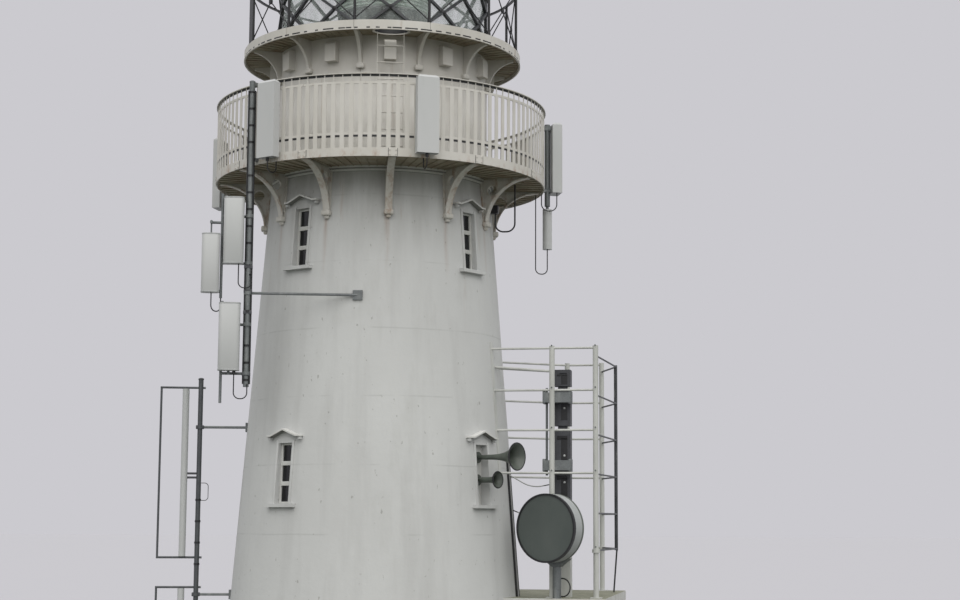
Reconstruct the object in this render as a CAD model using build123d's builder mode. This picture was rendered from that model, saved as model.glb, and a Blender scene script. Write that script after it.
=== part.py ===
from build123d import *

import os
from math import cos, degrees, hypot, radians, sin, tan

os.makedirs("parts", exist_ok=True)

# Lengths are in millimetres and angles in degrees. The origin is the centre of the tower at ground
# level, +Z is up, and azimuths are measured about the tower from its front (-Y) towards +X.

# Tower
TOWER_BASE_RADIUS = 2940
TOWER_BATTER = 0.078
TOWER_WALL = 450
COURSES_BELOW_SILL = 200
BAY_ARC = 45
FLOOR_THICKNESS = 180
FIRST_FLOOR_TOP = 4600
SECOND_FLOOR_TOP = 8750
GROUND_FLOOR_TOP = 150

# Windows
WINDOW_WIDTH = 325
WINDOW_HEIGHT = 1060
LOWER_WINDOW_HEIGHT = 5830
UPPER_WINDOW_DROP = 1350
WINDOW_FRAME = 36
WINDOW_FRAME_DEPTH = 60
WINDOW_TRANSOM = 75
WINDOW_REVEAL = 120
PANE_THICKNESS = 8
HOOD_BAND = 48
HOOD_HALF_WIDTH = 300
HOOD_RETURN = 90
HOOD_RISE = 190
HOOD_CLEARANCE = 110
HOOD_PROJECTION = 110
SILL_WIDTH = 640
SILL_THICKNESS = 60
SILL_PROJECTION = 130

# Annex: it is turned about the tower, and measured out from the axis and along its end wall
ANNEX_AZIMUTH = 73
ANNEX_SLAB_TOP = 3670
ANNEX_SLAB_THICKNESS = 180
ANNEX_SLAB_START = 1200
ANNEX_SLAB_END = 4320
ANNEX_SLAB_FRONT = 850
ANNEX_SLAB_BACK = 3200
ANNEX_SLAB_CORNER = 60
ANNEX_OVERHANG = 140
ANNEX_WALL = 260
CORBEL_PITCH = 200
CORBEL_WIDTH = 100
CORBEL_REACH = 95
CORBEL_DROP = 90
DOORWAY_ARC = 19
DOORWAY_TOP = 2200
ANNEX_DOOR_WIDTH = 900
ANNEX_DOOR_ALONG = 1200
DOOR_THICKNESS = 50

# Lower gallery
LOWER_DECK_TOP = 11400
LOWER_DECK_THICKNESS = 110
GALLERY_RADIUS = 3100
PLATE_JOINT_ARC = 0.15
FASCIA_THICKNESS = 18
FASCIA_HEIGHT = 150
BRACKET_COUNT = 12
BRACKET_WEB = 45
BRACKET_RIM = 130
BRACKET_RIM_DEPTH = 42
BRACKET_INSET = 200
BRACKET_DROP = 1010
BRACKET_HOLE_RADIUS = 95
SLATS_PER_PANEL = 10
SLAT_WIDTH = 78
SLAT_THICKNESS = 12
LOWER_RAIL_HEIGHT = 230
SECOND_RAIL_HEIGHT = 1130
RAIL_BAND = 40
TOP_RAIL_HEIGHT = 1300
TOP_RAIL_WIDTH = 60
TOP_RAIL_THICKNESS = 14
PIN_SIZE = 14
SEAT_DEPTH = 20

# Watchroom
WATCHROOM_RADIUS = 2000
WATCHROOM_WALL = 100
GALLERY_DOOR_WIDTH = 740
GALLERY_DOOR_HEIGHT = 1800
VENTILATOR_WIDTH = 215
VENTILATOR_HEIGHT = 370
VENTILATOR_DEPTH = 140
VENTILATOR_BASE = 13230
LADDER_STANDOFF = 130
LADDER_WIDTH = 480
LADDER_STILE_DEPTH = 60
LADDER_STILE = 14
RUNG_DIAMETER = 24
RUNG_PITCH = 305

# Upper gallery
UPPER_DECK_TOP = 13800
UPPER_DECK_THICKNESS = 100
UPPER_GALLERY_RADIUS = 2630
KERB_THICKNESS = 22
KERB_HEIGHT = 175
MANHOLE_INSET = 320
MANHOLE_WIDTH = 620
MANHOLE_DEPTH = 400
UPPER_BRACKET_INSET = 110
UPPER_BRACKET_DROP = 620
UPPER_BRACKET_WEB = 60
STANCHION_INSET = 60
STANCHION_DIAMETER = 50
STANCHION_HEIGHT = 1330
ROD_DIAMETER = 22
UPPER_RAIL_THICKNESS = 30

# Lantern
SILL_HEIGHT = 60
ASTRAGAL_RADIUS = 1985
ASTRAGAL_DEPTH = 60
ASTRAGAL_WIDTH = 45
ASTRAGAL_ROW = 386
ASTRAGAL_ROWS = 8
LANTERN_GLASS = 10
CORNICE_HEIGHT = 240
CORNICE_PROJECTION = 220
ROOF_RISE = 1350
ROOF_HAUNCH_RADIUS = 1350
ROOF_HAUNCH_RISE = 870
ROOF_PLATE = 30
ROOF_TOP_RADIUS = 280
BALL_RADIUS = 330
ROD_HEIGHT = 900
LENS_RADIUS = 850
LENS_BASE = 14600
LENS_HEIGHT = 2050
LENS_WALL = 70

# Masts and aerials
MAST_AZIMUTH = -48.6
MAST_STANDOFF = 150
MAST_DIAMETER = 100
MAST_BASE = 7300
MAST_HEIGHT = 5400
COLLAR_WALL = 22
COLLAR_HEIGHT = 60
ARM_DIAMETER = 48
MAST_CLAMP_WIDTH = 80
MAST_CLAMP_HEIGHT = 50
STAY_HEIGHT = 8940
STAY_AZIMUTH = -13.5
WALL_PAD = 40
WALL_PAD_SIZE = 170
AERIAL_DEPTH = 200
AERIAL_CORNER = 80
AERIAL_FORWARD = 60
UPPER_AERIAL_WIDTH = 355
UPPER_AERIAL_ACROSS = -265
UPPER_AERIAL_BASE = 9500
UPPER_AERIAL_HEIGHT = 1200
OUTER_AERIAL_WIDTH = 310
OUTER_AERIAL_ACROSS = -655
OUTER_AERIAL_BASE = 9000
OUTER_AERIAL_HEIGHT = 1150
LOWER_AERIAL_WIDTH = 370
LOWER_AERIAL_ACROSS = -305
LOWER_AERIAL_BASE = 7570
LOWER_AERIAL_HEIGHT = 1230
UPPER_PIPE_ACROSS = -470
UPPER_PIPE_BASE = 8850
UPPER_PIPE_HEIGHT = 1850
LOWER_PIPE_ACROSS = -440
LOWER_PIPE_BASE = 7020
LOWER_PIPE_HEIGHT = 1780
CARRIER_PIPE = 50
ARM_BELOW_AERIAL = 34
LOW_MAST_AZIMUTH = -93.6
LOW_MAST_RADIUS = 3300
LOW_MAST_DIAMETER = 90
LOW_MAST_TOP = 7600
LOW_MAST_BASE = 400
LOW_ARM_HEIGHT = 6720
LOW_ARM_PITCH = 3060
ROD_FRAME_TOP = 7450
ROD_FRAME_HEIGHT = 3120
ROD_FRAME_PITCH = 3660
ROD_FRAME_ACROSS = -720
ROD_AERIAL_ACROSS = -270
ROD_AERIAL_DIAMETER = 125
FRAME_TUBE = 40
PANEL_WIDTH = 390
PANEL_DEPTH = 150
PANEL_HEIGHT = 1380
PANEL_BASE = 11300
PANEL_STANDOFF = 60
PANEL_CHAMFER = 45
PANEL_AZIMUTHS = (-41.6, 10.4)
LEFT_PANEL_AZIMUTH = -108.6
LEFT_PANEL_BASE = 10980
RIGHT_PANEL_AZIMUTH = 93.5
RIGHT_PIPE_DIAMETER = 105
RIGHT_PIPE_STANDOFF = 133
RIGHT_PIPE_BASE = 11050
RIGHT_PIPE_HEIGHT = 1610
RIGHT_PANEL_DEPTH = 190
RIGHT_PANEL_GAP = 10
CLAMP_WIDTH = 120
CLAMP_HEIGHT = 90
UPPER_CLAMP_RISE = 1140
LOWER_CLAMP_DROP = 70
TUBE_AERIAL_DIAMETER = 180
TUBE_AERIAL_HEIGHT = 780
MESH_AZIMUTH = -75
MESH_WIDTH = 240
MESH_HEIGHT = 1800
MESH_THICKNESS = 30

# Fog signal stand on the annex
STAND_FRONT = 580
STAND_BACK = 2900
INNER_POST_OUT = 3350
OUTER_POST_OUT = 4140
BACK_INNER_POST_OUT = 3190
BACK_OUTER_POST_OUT = 3880
STAND_POST_DIAMETER = 98
STAND_TOP = 8170
POST_PLATE = 200
POST_PLATE_THICKNESS = 16
SLEEVE_HEIGHT = 4470
STAND_RAIL_DIAMETER = 40
STAND_RAIL_HEIGHTS = (8130, 7370, 6650, 5880)
WALL_FLAT_WIDTH = 100
WALL_FLAT_THICKNESS = 12
WALL_FLAT_AZIMUTH = 58.7
BACK_FLAT_AZIMUTH = 122
WALL_FLAT_BASE = 5650
WALL_FLAT_TOP = 8250
STRUT_AZIMUTHS = (61.5, 67.5)
STRUT_HEIGHT = 7810
STRUT_DROP = 100
STRUT_DIAMETER = 46
GUARD_OUT = 4280
GUARD_ALONG = 1800
GUARD_DIAMETER = 32
GUARD_UPRIGHT_DIAMETER = 42
GUARD_HEIGHTS = (7990, 7280, 6570, 5865, 5165, 4510)
GUARD_FOOT_OUT = 4160
GUARD_FOOT_ALONG = 2350
STACK_OUT = 3500
STACK_ALONG = -330
STACK_WIDTH = 300
STACK_DEPTH = 260
STACK_BASE = 5300
STACK_MODULE = 660
STACK_GAP = 60
STACK_MODULES = 3
STACK_CAP = 300
STACK_RECESS = 25
STACK_COLUMN = 160
HORN_CLAMP_OUT = 3190
HORN_CLAMP_WIDTH = 500
HORN_CLAMP_HEIGHT = 180
HORN_CLAMP_HEIGHTS = (7240, 6020)
HORN_PIPE_DIAMETER = 44
TRUMPET_HEIGHT = 6140
TRUMPET_LENGTH = 920
TRUMPET_MOUTH = 245
SMALL_TRUMPET_HEIGHT = 5740
SMALL_TRUMPET_LENGTH = 500
SMALL_TRUMPET_MOUTH = 150
TRUMPET_THROAT = 34
TRUMPET_WALL = 7
DRIVER_RADIUS = 100
DRIVER_THICKNESS = 60
DRUM_RADIUS = 600
DRUM_DEPTH = 450
DRUM_WALL = 12
DRUM_HEIGHT = 4900
DRUM_AZIMUTH = -41.8
DRUM_BACK_OUT = 3489
DRUM_BACK_ALONG = -716
DISH_DEPTH = 130
DRUM_HUB = 80
DRUM_DRAIN = 20
DRUM_POST_DIAMETER = 150
CRADLE_REACH = 340
CRADLE_THICKNESS = 120
CRADLE_DEPTH = 80

# Cords
CORD_DIAMETER = 20
CORD_DROP = 240
CORD_SPREAD = 230
CONNECTOR_DIAMETER = 56
CONNECTOR_HEIGHT = 60
CABLE_AZIMUTHS = (68.5, 70.3, 72.1)
CABLE_SIZE = 34
CABLE_TOP = 6250
CABLE_SAG = 160
DRUM_LEAD_OUT = 3420
DRUM_LEAD_ALONG = -400
STACK_TAP_HEIGHT = 5700
LOOP_CORD_DIAMETER = 12
LOOP_TOP = 5690
LOOP_HEIGHT = 320
LOOP_REACH = 145
BUNDLE_DIAMETER = 30
BUNDLE_AZIMUTH = 75
BUNDLE_RADIUS = 2560
BUNDLE_SPREAD = 370
BUNDLE_LOW = 10400
JUMPER_ASIDE = 95
JUMPER_FORWARD = 90
GLAND_HEIGHT = 10820
GLAND_SIZE = 150
COIL_RADIUS = 160
COIL_SHIFT = 60
COIL_DIAMETER = 24

BAY_AZIMUTHS = (0, 90, 180, 270)
DIAGONAL_AZIMUTHS = (45, 135, 225, 315)
BRACKET_AZIMUTHS = [index * 360 / BRACKET_COUNT for index in range(BRACKET_COUNT)]
BETWEEN_AZIMUTHS = [azimuth + 180 / BRACKET_COUNT for azimuth in BRACKET_AZIMUTHS]
PLATE_ARC = 360 / BRACKET_COUNT - PLATE_JOINT_ARC
BLANKED_AZIMUTH = 45
lower_courses_top = LOWER_WINDOW_HEIGHT - WINDOW_HEIGHT / 2 - COURSES_BELOW_SILL
upper_window_height = LOWER_DECK_TOP - UPPER_WINDOW_DROP
stanchion_radius = UPPER_GALLERY_RADIUS - STANCHION_INSET
manhole_radius = UPPER_GALLERY_RADIUS - MANHOLE_INSET
ladder_radius = manhole_radius - LADDER_STANDOFF
bracket_reach = GALLERY_RADIUS - BRACKET_INSET
upper_bracket_reach = UPPER_GALLERY_RADIUS - UPPER_BRACKET_INSET
WINDOW_PLACES = [(azimuth, upper_window_height) for azimuth in DIAGONAL_AZIMUTHS]
WINDOW_PLACES += [(azimuth, LOWER_WINDOW_HEIGHT) for azimuth in DIAGONAL_AZIMUTHS]


def tower_radius(height):
    """Outer radius of the battered tower at a height."""
    return TOWER_BASE_RADIUS - TOWER_BATTER * height


def room_radius(height):
    """Inner radius of the tower at a height."""
    return tower_radius(height) - TOWER_WALL


def plan_point(azimuth, radius, height):
    """Point at an azimuth, radius and height."""
    return (radius * sin(radians(azimuth)), -radius * cos(radians(azimuth)), height)


def radial_plane(azimuth):
    """Upright plane through the tower's axis: its x is the radius and its y is the height."""
    turn = radians(azimuth)
    return Plane(origin=(0, 0, 0), x_dir=(sin(turn), -cos(turn), 0), z_dir=(-cos(turn), -sin(turn), 0))


def facing_plane(azimuth, radius, height):
    """Upright plane square to the radius, facing outwards: its x runs to the right, its y up."""
    turn = radians(azimuth)
    return Plane(
        origin=plan_point(azimuth, radius, height),
        x_dir=(cos(turn), sin(turn), 0),
        z_dir=(sin(turn), -cos(turn), 0),
    )


def ring_segments(azimuths, arc, points):
    """Solids of revolution with a closed outline of (radius, height) points, one at each azimuth."""
    with BuildPart() as ring:
        for azimuth in azimuths:
            with BuildSketch(radial_plane(azimuth - arc / 2)):
                with BuildLine():
                    Polyline(*points, close=True)
                make_face()
            revolve(axis=Axis.Z, revolution_arc=arc)
    return ring.part


def round_bar(start, end, diameter):
    """Straight round bar between two points."""
    run = Vector(*end) - Vector(*start)
    with BuildPart() as bar:
        with BuildSketch(Plane(origin=start, z_dir=run)):
            Circle(diameter / 2)
        extrude(amount=run.length)
    return bar.part


def square_bar(start, end, width, depth):
    """Straight bar of rectangular section between two points, its depth kept level or radial."""
    run = Vector(*end) - Vector(*start)
    middle = (Vector(*end) + Vector(*start)) * 0.5
    outward = Vector(middle.X, middle.Y, 0)
    with BuildPart() as bar:
        with BuildSketch(Plane(origin=start, x_dir=outward, z_dir=run)):
            Rectangle(depth, width)
        extrude(amount=run.length)
    return bar.part


def upright_pipe(place, low, high, diameter):
    """Upright round bar at a place in plan."""
    return round_bar((place[0], place[1], low), (place[0], place[1], high), diameter)


def radial_block(azimuth, inner, outer, low, high, width):
    """Block between two radii that seats on a round face at the inner one."""
    with BuildPart() as block:
        with BuildSketch(facing_plane(azimuth, outer, (low + high) / 2)):
            Rectangle(width, high - low)
        extrude(amount=inner - outer - SEAT_DEPTH)
        with BuildSketch(Plane.XY.offset(low)):
            Circle(inner)
        extrude(amount=high - low, mode=Mode.SUBTRACT)
    return block.part


def lead(points, diameter):
    """Cord with rounded corners, each as wide as the shorter run beside it allows."""
    corners = [Vector(*point) for point in points]
    radii = []
    for before, corner, after in zip(corners, corners[1:], corners[2:]):
        half_turn = (corner - before).get_angle(after - corner) / 2
        run = min((corner - before).length, (after - corner).length)
        radii.append(0.45 * run / tan(radians(half_turn)))
    with BuildPart() as cord:
        with BuildLine() as route:
            FilletPolyline(*points, radius=min(radii))
        with BuildSketch(Plane(origin=points[0], z_dir=corners[1] - corners[0])):
            Circle(diameter / 2)
        sweep()
    length = sum(edge.length for edge in route.edges())
    print("cord", diameter, "radius", round(min(radii)), "length", round(length))
    return cord.part


def wall_outline(low, high):
    """Section of the tower wall between two heights."""
    return [
        (room_radius(low), low),
        (tower_radius(low), low),
        (tower_radius(high), high),
        (room_radius(high), high),
    ]


def floor_outline(top, thickness):
    """Section of a round floor that fills the room between its underside and its top."""
    low = top - thickness
    return [(0, low), (room_radius(low), low), (room_radius(top), top), (0, top)]


# Tower body, used to cut what seats against the wall
with BuildPart() as tower_body:
    with BuildSketch(Plane.XZ):
        with BuildLine():
            Polyline(
                (0, 0),
                (tower_radius(0), 0),
                (tower_radius(LOWER_DECK_TOP), LOWER_DECK_TOP),
                (0, LOWER_DECK_TOP),
                close=True,
            )
        make_face()
    revolve(axis=Axis.Z)


def wall_block(azimuth, reach, height, width, tall):
    """Block that seats on the tower's wall and stands out by a reach."""
    with BuildPart() as block:
        with BuildSketch(facing_plane(azimuth, tower_radius(height) + reach, height)):
            Rectangle(width, tall)
        extrude(amount=-reach - TOWER_WALL / 2)
        add(tower_body.part, mode=Mode.SUBTRACT)
    return block.part


# Lower courses: the doorway to the annex stands between two jambs in the right-hand bay
jamb_arc = (BAY_ARC - DOORWAY_ARC) / 2
jamb_azimuths = (90 - (BAY_ARC - jamb_arc) / 2, 90 + (BAY_ARC - jamb_arc) / 2)
with BuildPart() as tower_lower_straight_bays:
    add(ring_segments((0, 180, 270), BAY_ARC, wall_outline(0, lower_courses_top)))
    add(ring_segments(jamb_azimuths, jamb_arc, wall_outline(0, lower_courses_top)))

with BuildPart() as tower_lower_diagonal_bays:
    add(ring_segments(DIAGONAL_AZIMUTHS, BAY_ARC, wall_outline(0, lower_courses_top)))
    add(ring_segments((90,), DOORWAY_ARC, wall_outline(DOORWAY_TOP, lower_courses_top)))
    add(ring_segments((90,), DOORWAY_ARC, wall_outline(0, GROUND_FLOOR_TOP)))

# Upper courses, with two rows of windows cut through the diagonal bays
with BuildPart() as tower_upper_straight_bays:
    add(ring_segments(BAY_AZIMUTHS, BAY_ARC, wall_outline(lower_courses_top, LOWER_DECK_TOP)))

with BuildPart() as tower_upper_window_bays:
    add(ring_segments(DIAGONAL_AZIMUTHS, BAY_ARC, wall_outline(lower_courses_top, LOWER_DECK_TOP)))
    for azimuth, height in WINDOW_PLACES:
        with BuildSketch(facing_plane(azimuth, TOWER_WALL, height)):
            Rectangle(WINDOW_WIDTH, WINDOW_HEIGHT)
        extrude(amount=TOWER_BASE_RADIUS, mode=Mode.SUBTRACT)

# Windows: every diagonal bay has one in each row, and one of the lower row is blanked off
OPEN_WINDOWS = [place for place in WINDOW_PLACES if place != (BLANKED_AZIMUTH, LOWER_WINDOW_HEIGHT)]
pane_width = WINDOW_WIDTH - 2 * WINDOW_FRAME
pane_height = (WINDOW_HEIGHT - 2 * WINDOW_FRAME - 2 * WINDOW_TRANSOM) / 3
pane_pitch = pane_height + WINDOW_TRANSOM


def frame_radius(height):
    """Radius of the outer face of a window frame centred at a height."""
    return tower_radius(height + WINDOW_HEIGHT / 2) - WINDOW_REVEAL


with BuildPart() as window_frames:
    for azimuth, height in OPEN_WINDOWS:
        with BuildSketch(facing_plane(azimuth, frame_radius(height), height)):
            Rectangle(WINDOW_WIDTH, WINDOW_HEIGHT)
            with GridLocations(0, pane_pitch, 1, 3):
                Rectangle(pane_width, pane_height, mode=Mode.SUBTRACT)
        extrude(amount=-WINDOW_FRAME_DEPTH)

with BuildPart() as window_panes:
    for azimuth, height in OPEN_WINDOWS:
        with BuildSketch(facing_plane(azimuth, frame_radius(height) - WINDOW_FRAME_DEPTH, height)):
            Rectangle(WINDOW_WIDTH, WINDOW_HEIGHT)
        extrude(amount=-PANE_THICKNESS)

with BuildPart() as blanked_window_panel:
    with BuildSketch(facing_plane(BLANKED_AZIMUTH, frame_radius(LOWER_WINDOW_HEIGHT), LOWER_WINDOW_HEIGHT)):
        Rectangle(WINDOW_WIDTH, WINDOW_HEIGHT)
    extrude(amount=-WINDOW_FRAME_DEPTH)

with BuildPart() as window_sills:
    for azimuth, height in WINDOW_PLACES:
        sill_top = height - WINDOW_HEIGHT / 2
        with BuildSketch(facing_plane(azimuth, tower_radius(height) + SILL_PROJECTION, sill_top)):
            Rectangle(SILL_WIDTH, SILL_THICKNESS, align=(Align.CENTER, Align.MAX))
        extrude(amount=-SILL_PROJECTION - TOWER_WALL / 2)
    add(tower_body.part, mode=Mode.SUBTRACT)

with BuildPart() as window_hoods:
    for azimuth, height in WINDOW_PLACES:
        hood_foot = height + WINDOW_HEIGHT / 2 + HOOD_CLEARANCE
        with BuildSketch(facing_plane(azimuth, tower_radius(height) + HOOD_PROJECTION, hood_foot)):
            with BuildLine():
                Polyline(
                    (-HOOD_HALF_WIDTH - HOOD_RETURN, 0),
                    (-HOOD_HALF_WIDTH, 0),
                    (0, HOOD_RISE),
                    (HOOD_HALF_WIDTH, 0),
                    (HOOD_HALF_WIDTH + HOOD_RETURN, 0),
                    (HOOD_HALF_WIDTH + HOOD_RETURN, HOOD_BAND),
                    (HOOD_HALF_WIDTH, HOOD_BAND),
                    (0, HOOD_RISE + HOOD_BAND),
                    (-HOOD_HALF_WIDTH, HOOD_BAND),
                    (-HOOD_HALF_WIDTH - HOOD_RETURN, HOOD_BAND),
                    close=True,
                )
            make_face()
        extrude(amount=-HOOD_PROJECTION - TOWER_WALL / 2)
    add(tower_body.part, mode=Mode.SUBTRACT)

# Annex: a low house at the right, under a flat slab with a row of corbels
annex_wall_top = ANNEX_SLAB_TOP - ANNEX_SLAB_THICKNESS
annex_end = ANNEX_SLAB_END - ANNEX_OVERHANG
annex_front = ANNEX_SLAB_FRONT - ANNEX_OVERHANG
annex_back = ANNEX_SLAB_BACK - ANNEX_OVERHANG


def annex_plane(height):
    """Level plane over the annex: its x runs out from the tower and its y along the end wall."""
    turn = radians(ANNEX_AZIMUTH)
    return Plane(origin=(0, 0, height), x_dir=(sin(turn), -cos(turn), 0), z_dir=(0, 0, 1))


def annex_point(out, along, height):
    """Point over the annex."""
    turn = radians(ANNEX_AZIMUTH)
    return (out * sin(turn) + along * cos(turn), along * sin(turn) - out * cos(turn), height)


def annex_front_plane(out, along, height):
    """Upright plane that faces the front of the annex: its x runs out from the tower, its y up."""
    turn = radians(ANNEX_AZIMUTH)
    return Plane(
        origin=annex_point(out, along, height),
        x_dir=(sin(turn), -cos(turn), 0),
        z_dir=(-cos(turn), -sin(turn), 0),
    )


def annex_outline(inset):
    """Outline in plan of the annex's slab, drawn in by an inset."""
    with BuildSketch() as outline:
        with Locations((ANNEX_SLAB_START + inset, inset - ANNEX_SLAB_FRONT)):
            Rectangle(
                ANNEX_SLAB_END - ANNEX_SLAB_START - 2 * inset,
                ANNEX_SLAB_FRONT + ANNEX_SLAB_BACK - 2 * inset,
                align=(Align.MIN, Align.MIN),
            )
    return outline.sketch


with BuildPart() as annex_roof_slab:
    with BuildSketch(annex_plane(annex_wall_top)):
        add(annex_outline(0))
    extrude(amount=ANNEX_SLAB_THICKNESS)
    fillet(annex_roof_slab.edges().filter_by(Axis.Z), radius=ANNEX_SLAB_CORNER)
    add(tower_body.part, mode=Mode.SUBTRACT)

with BuildPart() as annex_side_walls:
    with BuildSketch(annex_plane(0)):
        add(annex_outline(ANNEX_OVERHANG))
        add(annex_outline(ANNEX_OVERHANG + ANNEX_WALL), mode=Mode.SUBTRACT)
        with Locations((annex_end, -annex_front)):
            Rectangle(ANNEX_WALL, annex_front + annex_back, align=(Align.MAX, Align.MIN), mode=Mode.SUBTRACT)
    extrude(amount=annex_wall_top)
    add(tower_body.part, mode=Mode.SUBTRACT)

with BuildPart() as annex_end_wall:
    with BuildSketch(annex_plane(0)):
        with Locations((annex_end, -annex_front)):
            Rectangle(ANNEX_WALL, annex_front + annex_back, align=(Align.MAX, Align.MIN))
    extrude(amount=annex_wall_top)
    with BuildSketch(annex_plane(0)):
        with Locations((annex_end, ANNEX_DOOR_ALONG)):
            Rectangle(ANNEX_WALL, ANNEX_DOOR_WIDTH, align=(Align.MAX, Align.CENTER))
    extrude(amount=DOORWAY_TOP, mode=Mode.SUBTRACT)

front_corbels = int((annex_end - tower_radius(annex_wall_top)) / CORBEL_PITCH)
end_corbels = int((annex_front + annex_back) / CORBEL_PITCH)
back_corbels = int((annex_end - ANNEX_SLAB_START - ANNEX_OVERHANG) / CORBEL_PITCH)
with BuildPart() as annex_corbels:
    with BuildSketch(annex_plane(annex_wall_top)):
        with Locations((annex_end - front_corbels * CORBEL_PITCH / 2, -annex_front)):
            with GridLocations(CORBEL_PITCH, 0, front_corbels, 1):
                Rectangle(CORBEL_WIDTH, CORBEL_REACH, align=(Align.CENTER, Align.MAX))
        with Locations((annex_end - back_corbels * CORBEL_PITCH / 2, annex_back)):
            with GridLocations(CORBEL_PITCH, 0, back_corbels, 1):
                Rectangle(CORBEL_WIDTH, CORBEL_REACH, align=(Align.CENTER, Align.MIN))
        with Locations((annex_end, (annex_back - annex_front) / 2)):
            with GridLocations(0, CORBEL_PITCH, 1, end_corbels):
                Rectangle(CORBEL_REACH, CORBEL_WIDTH, align=(Align.MIN, Align.CENTER))
    extrude(amount=-CORBEL_DROP)

# Floors of the rooms, one above the other, and of the annex
upper_low = UPPER_DECK_TOP - UPPER_DECK_THICKNESS
watchroom_inner = WATCHROOM_RADIUS - WATCHROOM_WALL
with BuildPart() as tower_floors:
    with BuildSketch(annex_plane(0)):
        add(annex_outline(ANNEX_OVERHANG + ANNEX_WALL))
    extrude(amount=GROUND_FLOOR_TOP)
    add(tower_body.part, mode=Mode.SUBTRACT)
    add(ring_segments((0,), 360, floor_outline(GROUND_FLOOR_TOP, GROUND_FLOOR_TOP)))
    add(ring_segments((0,), 360, floor_outline(FIRST_FLOOR_TOP, FLOOR_THICKNESS)))
    add(ring_segments((0,), 360, floor_outline(SECOND_FLOOR_TOP, FLOOR_THICKNESS)))
    add(ring_segments((0,), 360, floor_outline(LOWER_DECK_TOP, LOWER_DECK_THICKNESS)))
    with BuildSketch(Plane.XY.offset(upper_low)):
        Circle(watchroom_inner)
    extrude(amount=UPPER_DECK_THICKNESS)

# Lower gallery
deck_edge = GALLERY_RADIUS - FASCIA_THICKNESS
deck_low = LOWER_DECK_TOP - LOWER_DECK_THICKNESS
with BuildPart() as lower_gallery_deck:
    add(
        ring_segments(
            BETWEEN_AZIMUTHS,
            PLATE_ARC,
            [
                (tower_radius(deck_low), deck_low),
                (deck_edge, deck_low),
                (deck_edge, LOWER_DECK_TOP),
                (tower_radius(LOWER_DECK_TOP), LOWER_DECK_TOP),
            ],
        )
    )

with BuildPart() as lower_gallery_fascia:
    add(
        ring_segments(
            BETWEEN_AZIMUTHS,
            PLATE_ARC,
            [
                (deck_edge, LOWER_DECK_TOP - FASCIA_HEIGHT),
                (GALLERY_RADIUS, LOWER_DECK_TOP - FASCIA_HEIGHT),
                (GALLERY_RADIUS, LOWER_DECK_TOP),
                (deck_edge, LOWER_DECK_TOP),
            ],
        )
    )

bracket_foot = deck_low - BRACKET_DROP
with BuildPart() as lower_bracket:
    with BuildSketch(radial_plane(0)) as bracket_outline:
        with BuildLine():
            Polyline(
                (tower_radius(bracket_foot) + 60, bracket_foot + 60),
                (tower_radius(bracket_foot) + 60, bracket_foot),
                (tower_radius(bracket_foot) - 100, bracket_foot),
                (tower_radius(bracket_foot) - 100, deck_low),
                (bracket_reach, deck_low),
                (bracket_reach, deck_low - 90),
            )
            ThreePointArc(
                (bracket_reach, deck_low - 90),
                (tower_radius(deck_low) + 310, deck_low - 420),
                (tower_radius(bracket_foot) + 60, bracket_foot + 60),
            )
        make_face()
        with Locations((tower_radius(deck_low) + 230, deck_low - 210)):
            Circle(BRACKET_HOLE_RADIUS, mode=Mode.SUBTRACT)
    extrude(amount=BRACKET_WEB / 2, both=True)
    with BuildSketch(radial_plane(0)):
        add(bracket_outline.sketch_local.faces()[0].without_holes())
        offset(amount=-BRACKET_RIM_DEPTH, mode=Mode.SUBTRACT)
    extrude(amount=BRACKET_RIM / 2, both=True)
    add(tower_body.part, mode=Mode.SUBTRACT)

with BuildPart() as lower_gallery_brackets:
    with PolarLocations(0, BRACKET_COUNT):
        add(lower_bracket.part)

slat_arc = 360 / BRACKET_COUNT / SLATS_PER_PANEL
slat_radius = GALLERY_RADIUS - FASCIA_THICKNESS / 2
rail_inner = slat_radius - SLAT_THICKNESS / 2 - 10
rail_outer = slat_radius + SLAT_THICKNESS / 2
with BuildPart() as balustrade_panel:
    with BuildSketch(Plane.XY.offset(LOWER_DECK_TOP)):
        with PolarLocations(slat_radius, SLATS_PER_PANEL, start_angle=slat_arc / 2,
                            angular_range=slat_arc * (SLATS_PER_PANEL - 1), endpoint=True):
            Rectangle(SLAT_THICKNESS, SLAT_WIDTH)
    extrude(amount=SECOND_RAIL_HEIGHT)
    with BuildSketch(Plane.XY.offset(LOWER_DECK_TOP + SECOND_RAIL_HEIGHT)):
        with PolarLocations(slat_radius, SLATS_PER_PANEL, start_angle=slat_arc / 2,
                            angular_range=slat_arc * (SLATS_PER_PANEL - 1), endpoint=True):
            Rectangle(PIN_SIZE, PIN_SIZE)
    extrude(amount=TOP_RAIL_HEIGHT - SECOND_RAIL_HEIGHT)
    rails = (
        (rail_inner, slat_radius, LOWER_RAIL_HEIGHT, RAIL_BAND),
        (rail_inner, rail_outer, SECOND_RAIL_HEIGHT, RAIL_BAND),
        (
            slat_radius - TOP_RAIL_WIDTH / 2,
            slat_radius + TOP_RAIL_WIDTH / 2,
            TOP_RAIL_HEIGHT,
            TOP_RAIL_THICKNESS,
        ),
    )
    for inner, outer, rise, height in rails:
        low = LOWER_DECK_TOP + rise
        add(
            ring_segments(
                (90 + 180 / BRACKET_COUNT,),
                PLATE_ARC,
                [(inner, low), (outer, low), (outer, low + height), (inner, low + height)],
            )
        )

with BuildPart() as lower_gallery_balustrade:
    with PolarLocations(0, BRACKET_COUNT):
        add(balustrade_panel.part)

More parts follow.
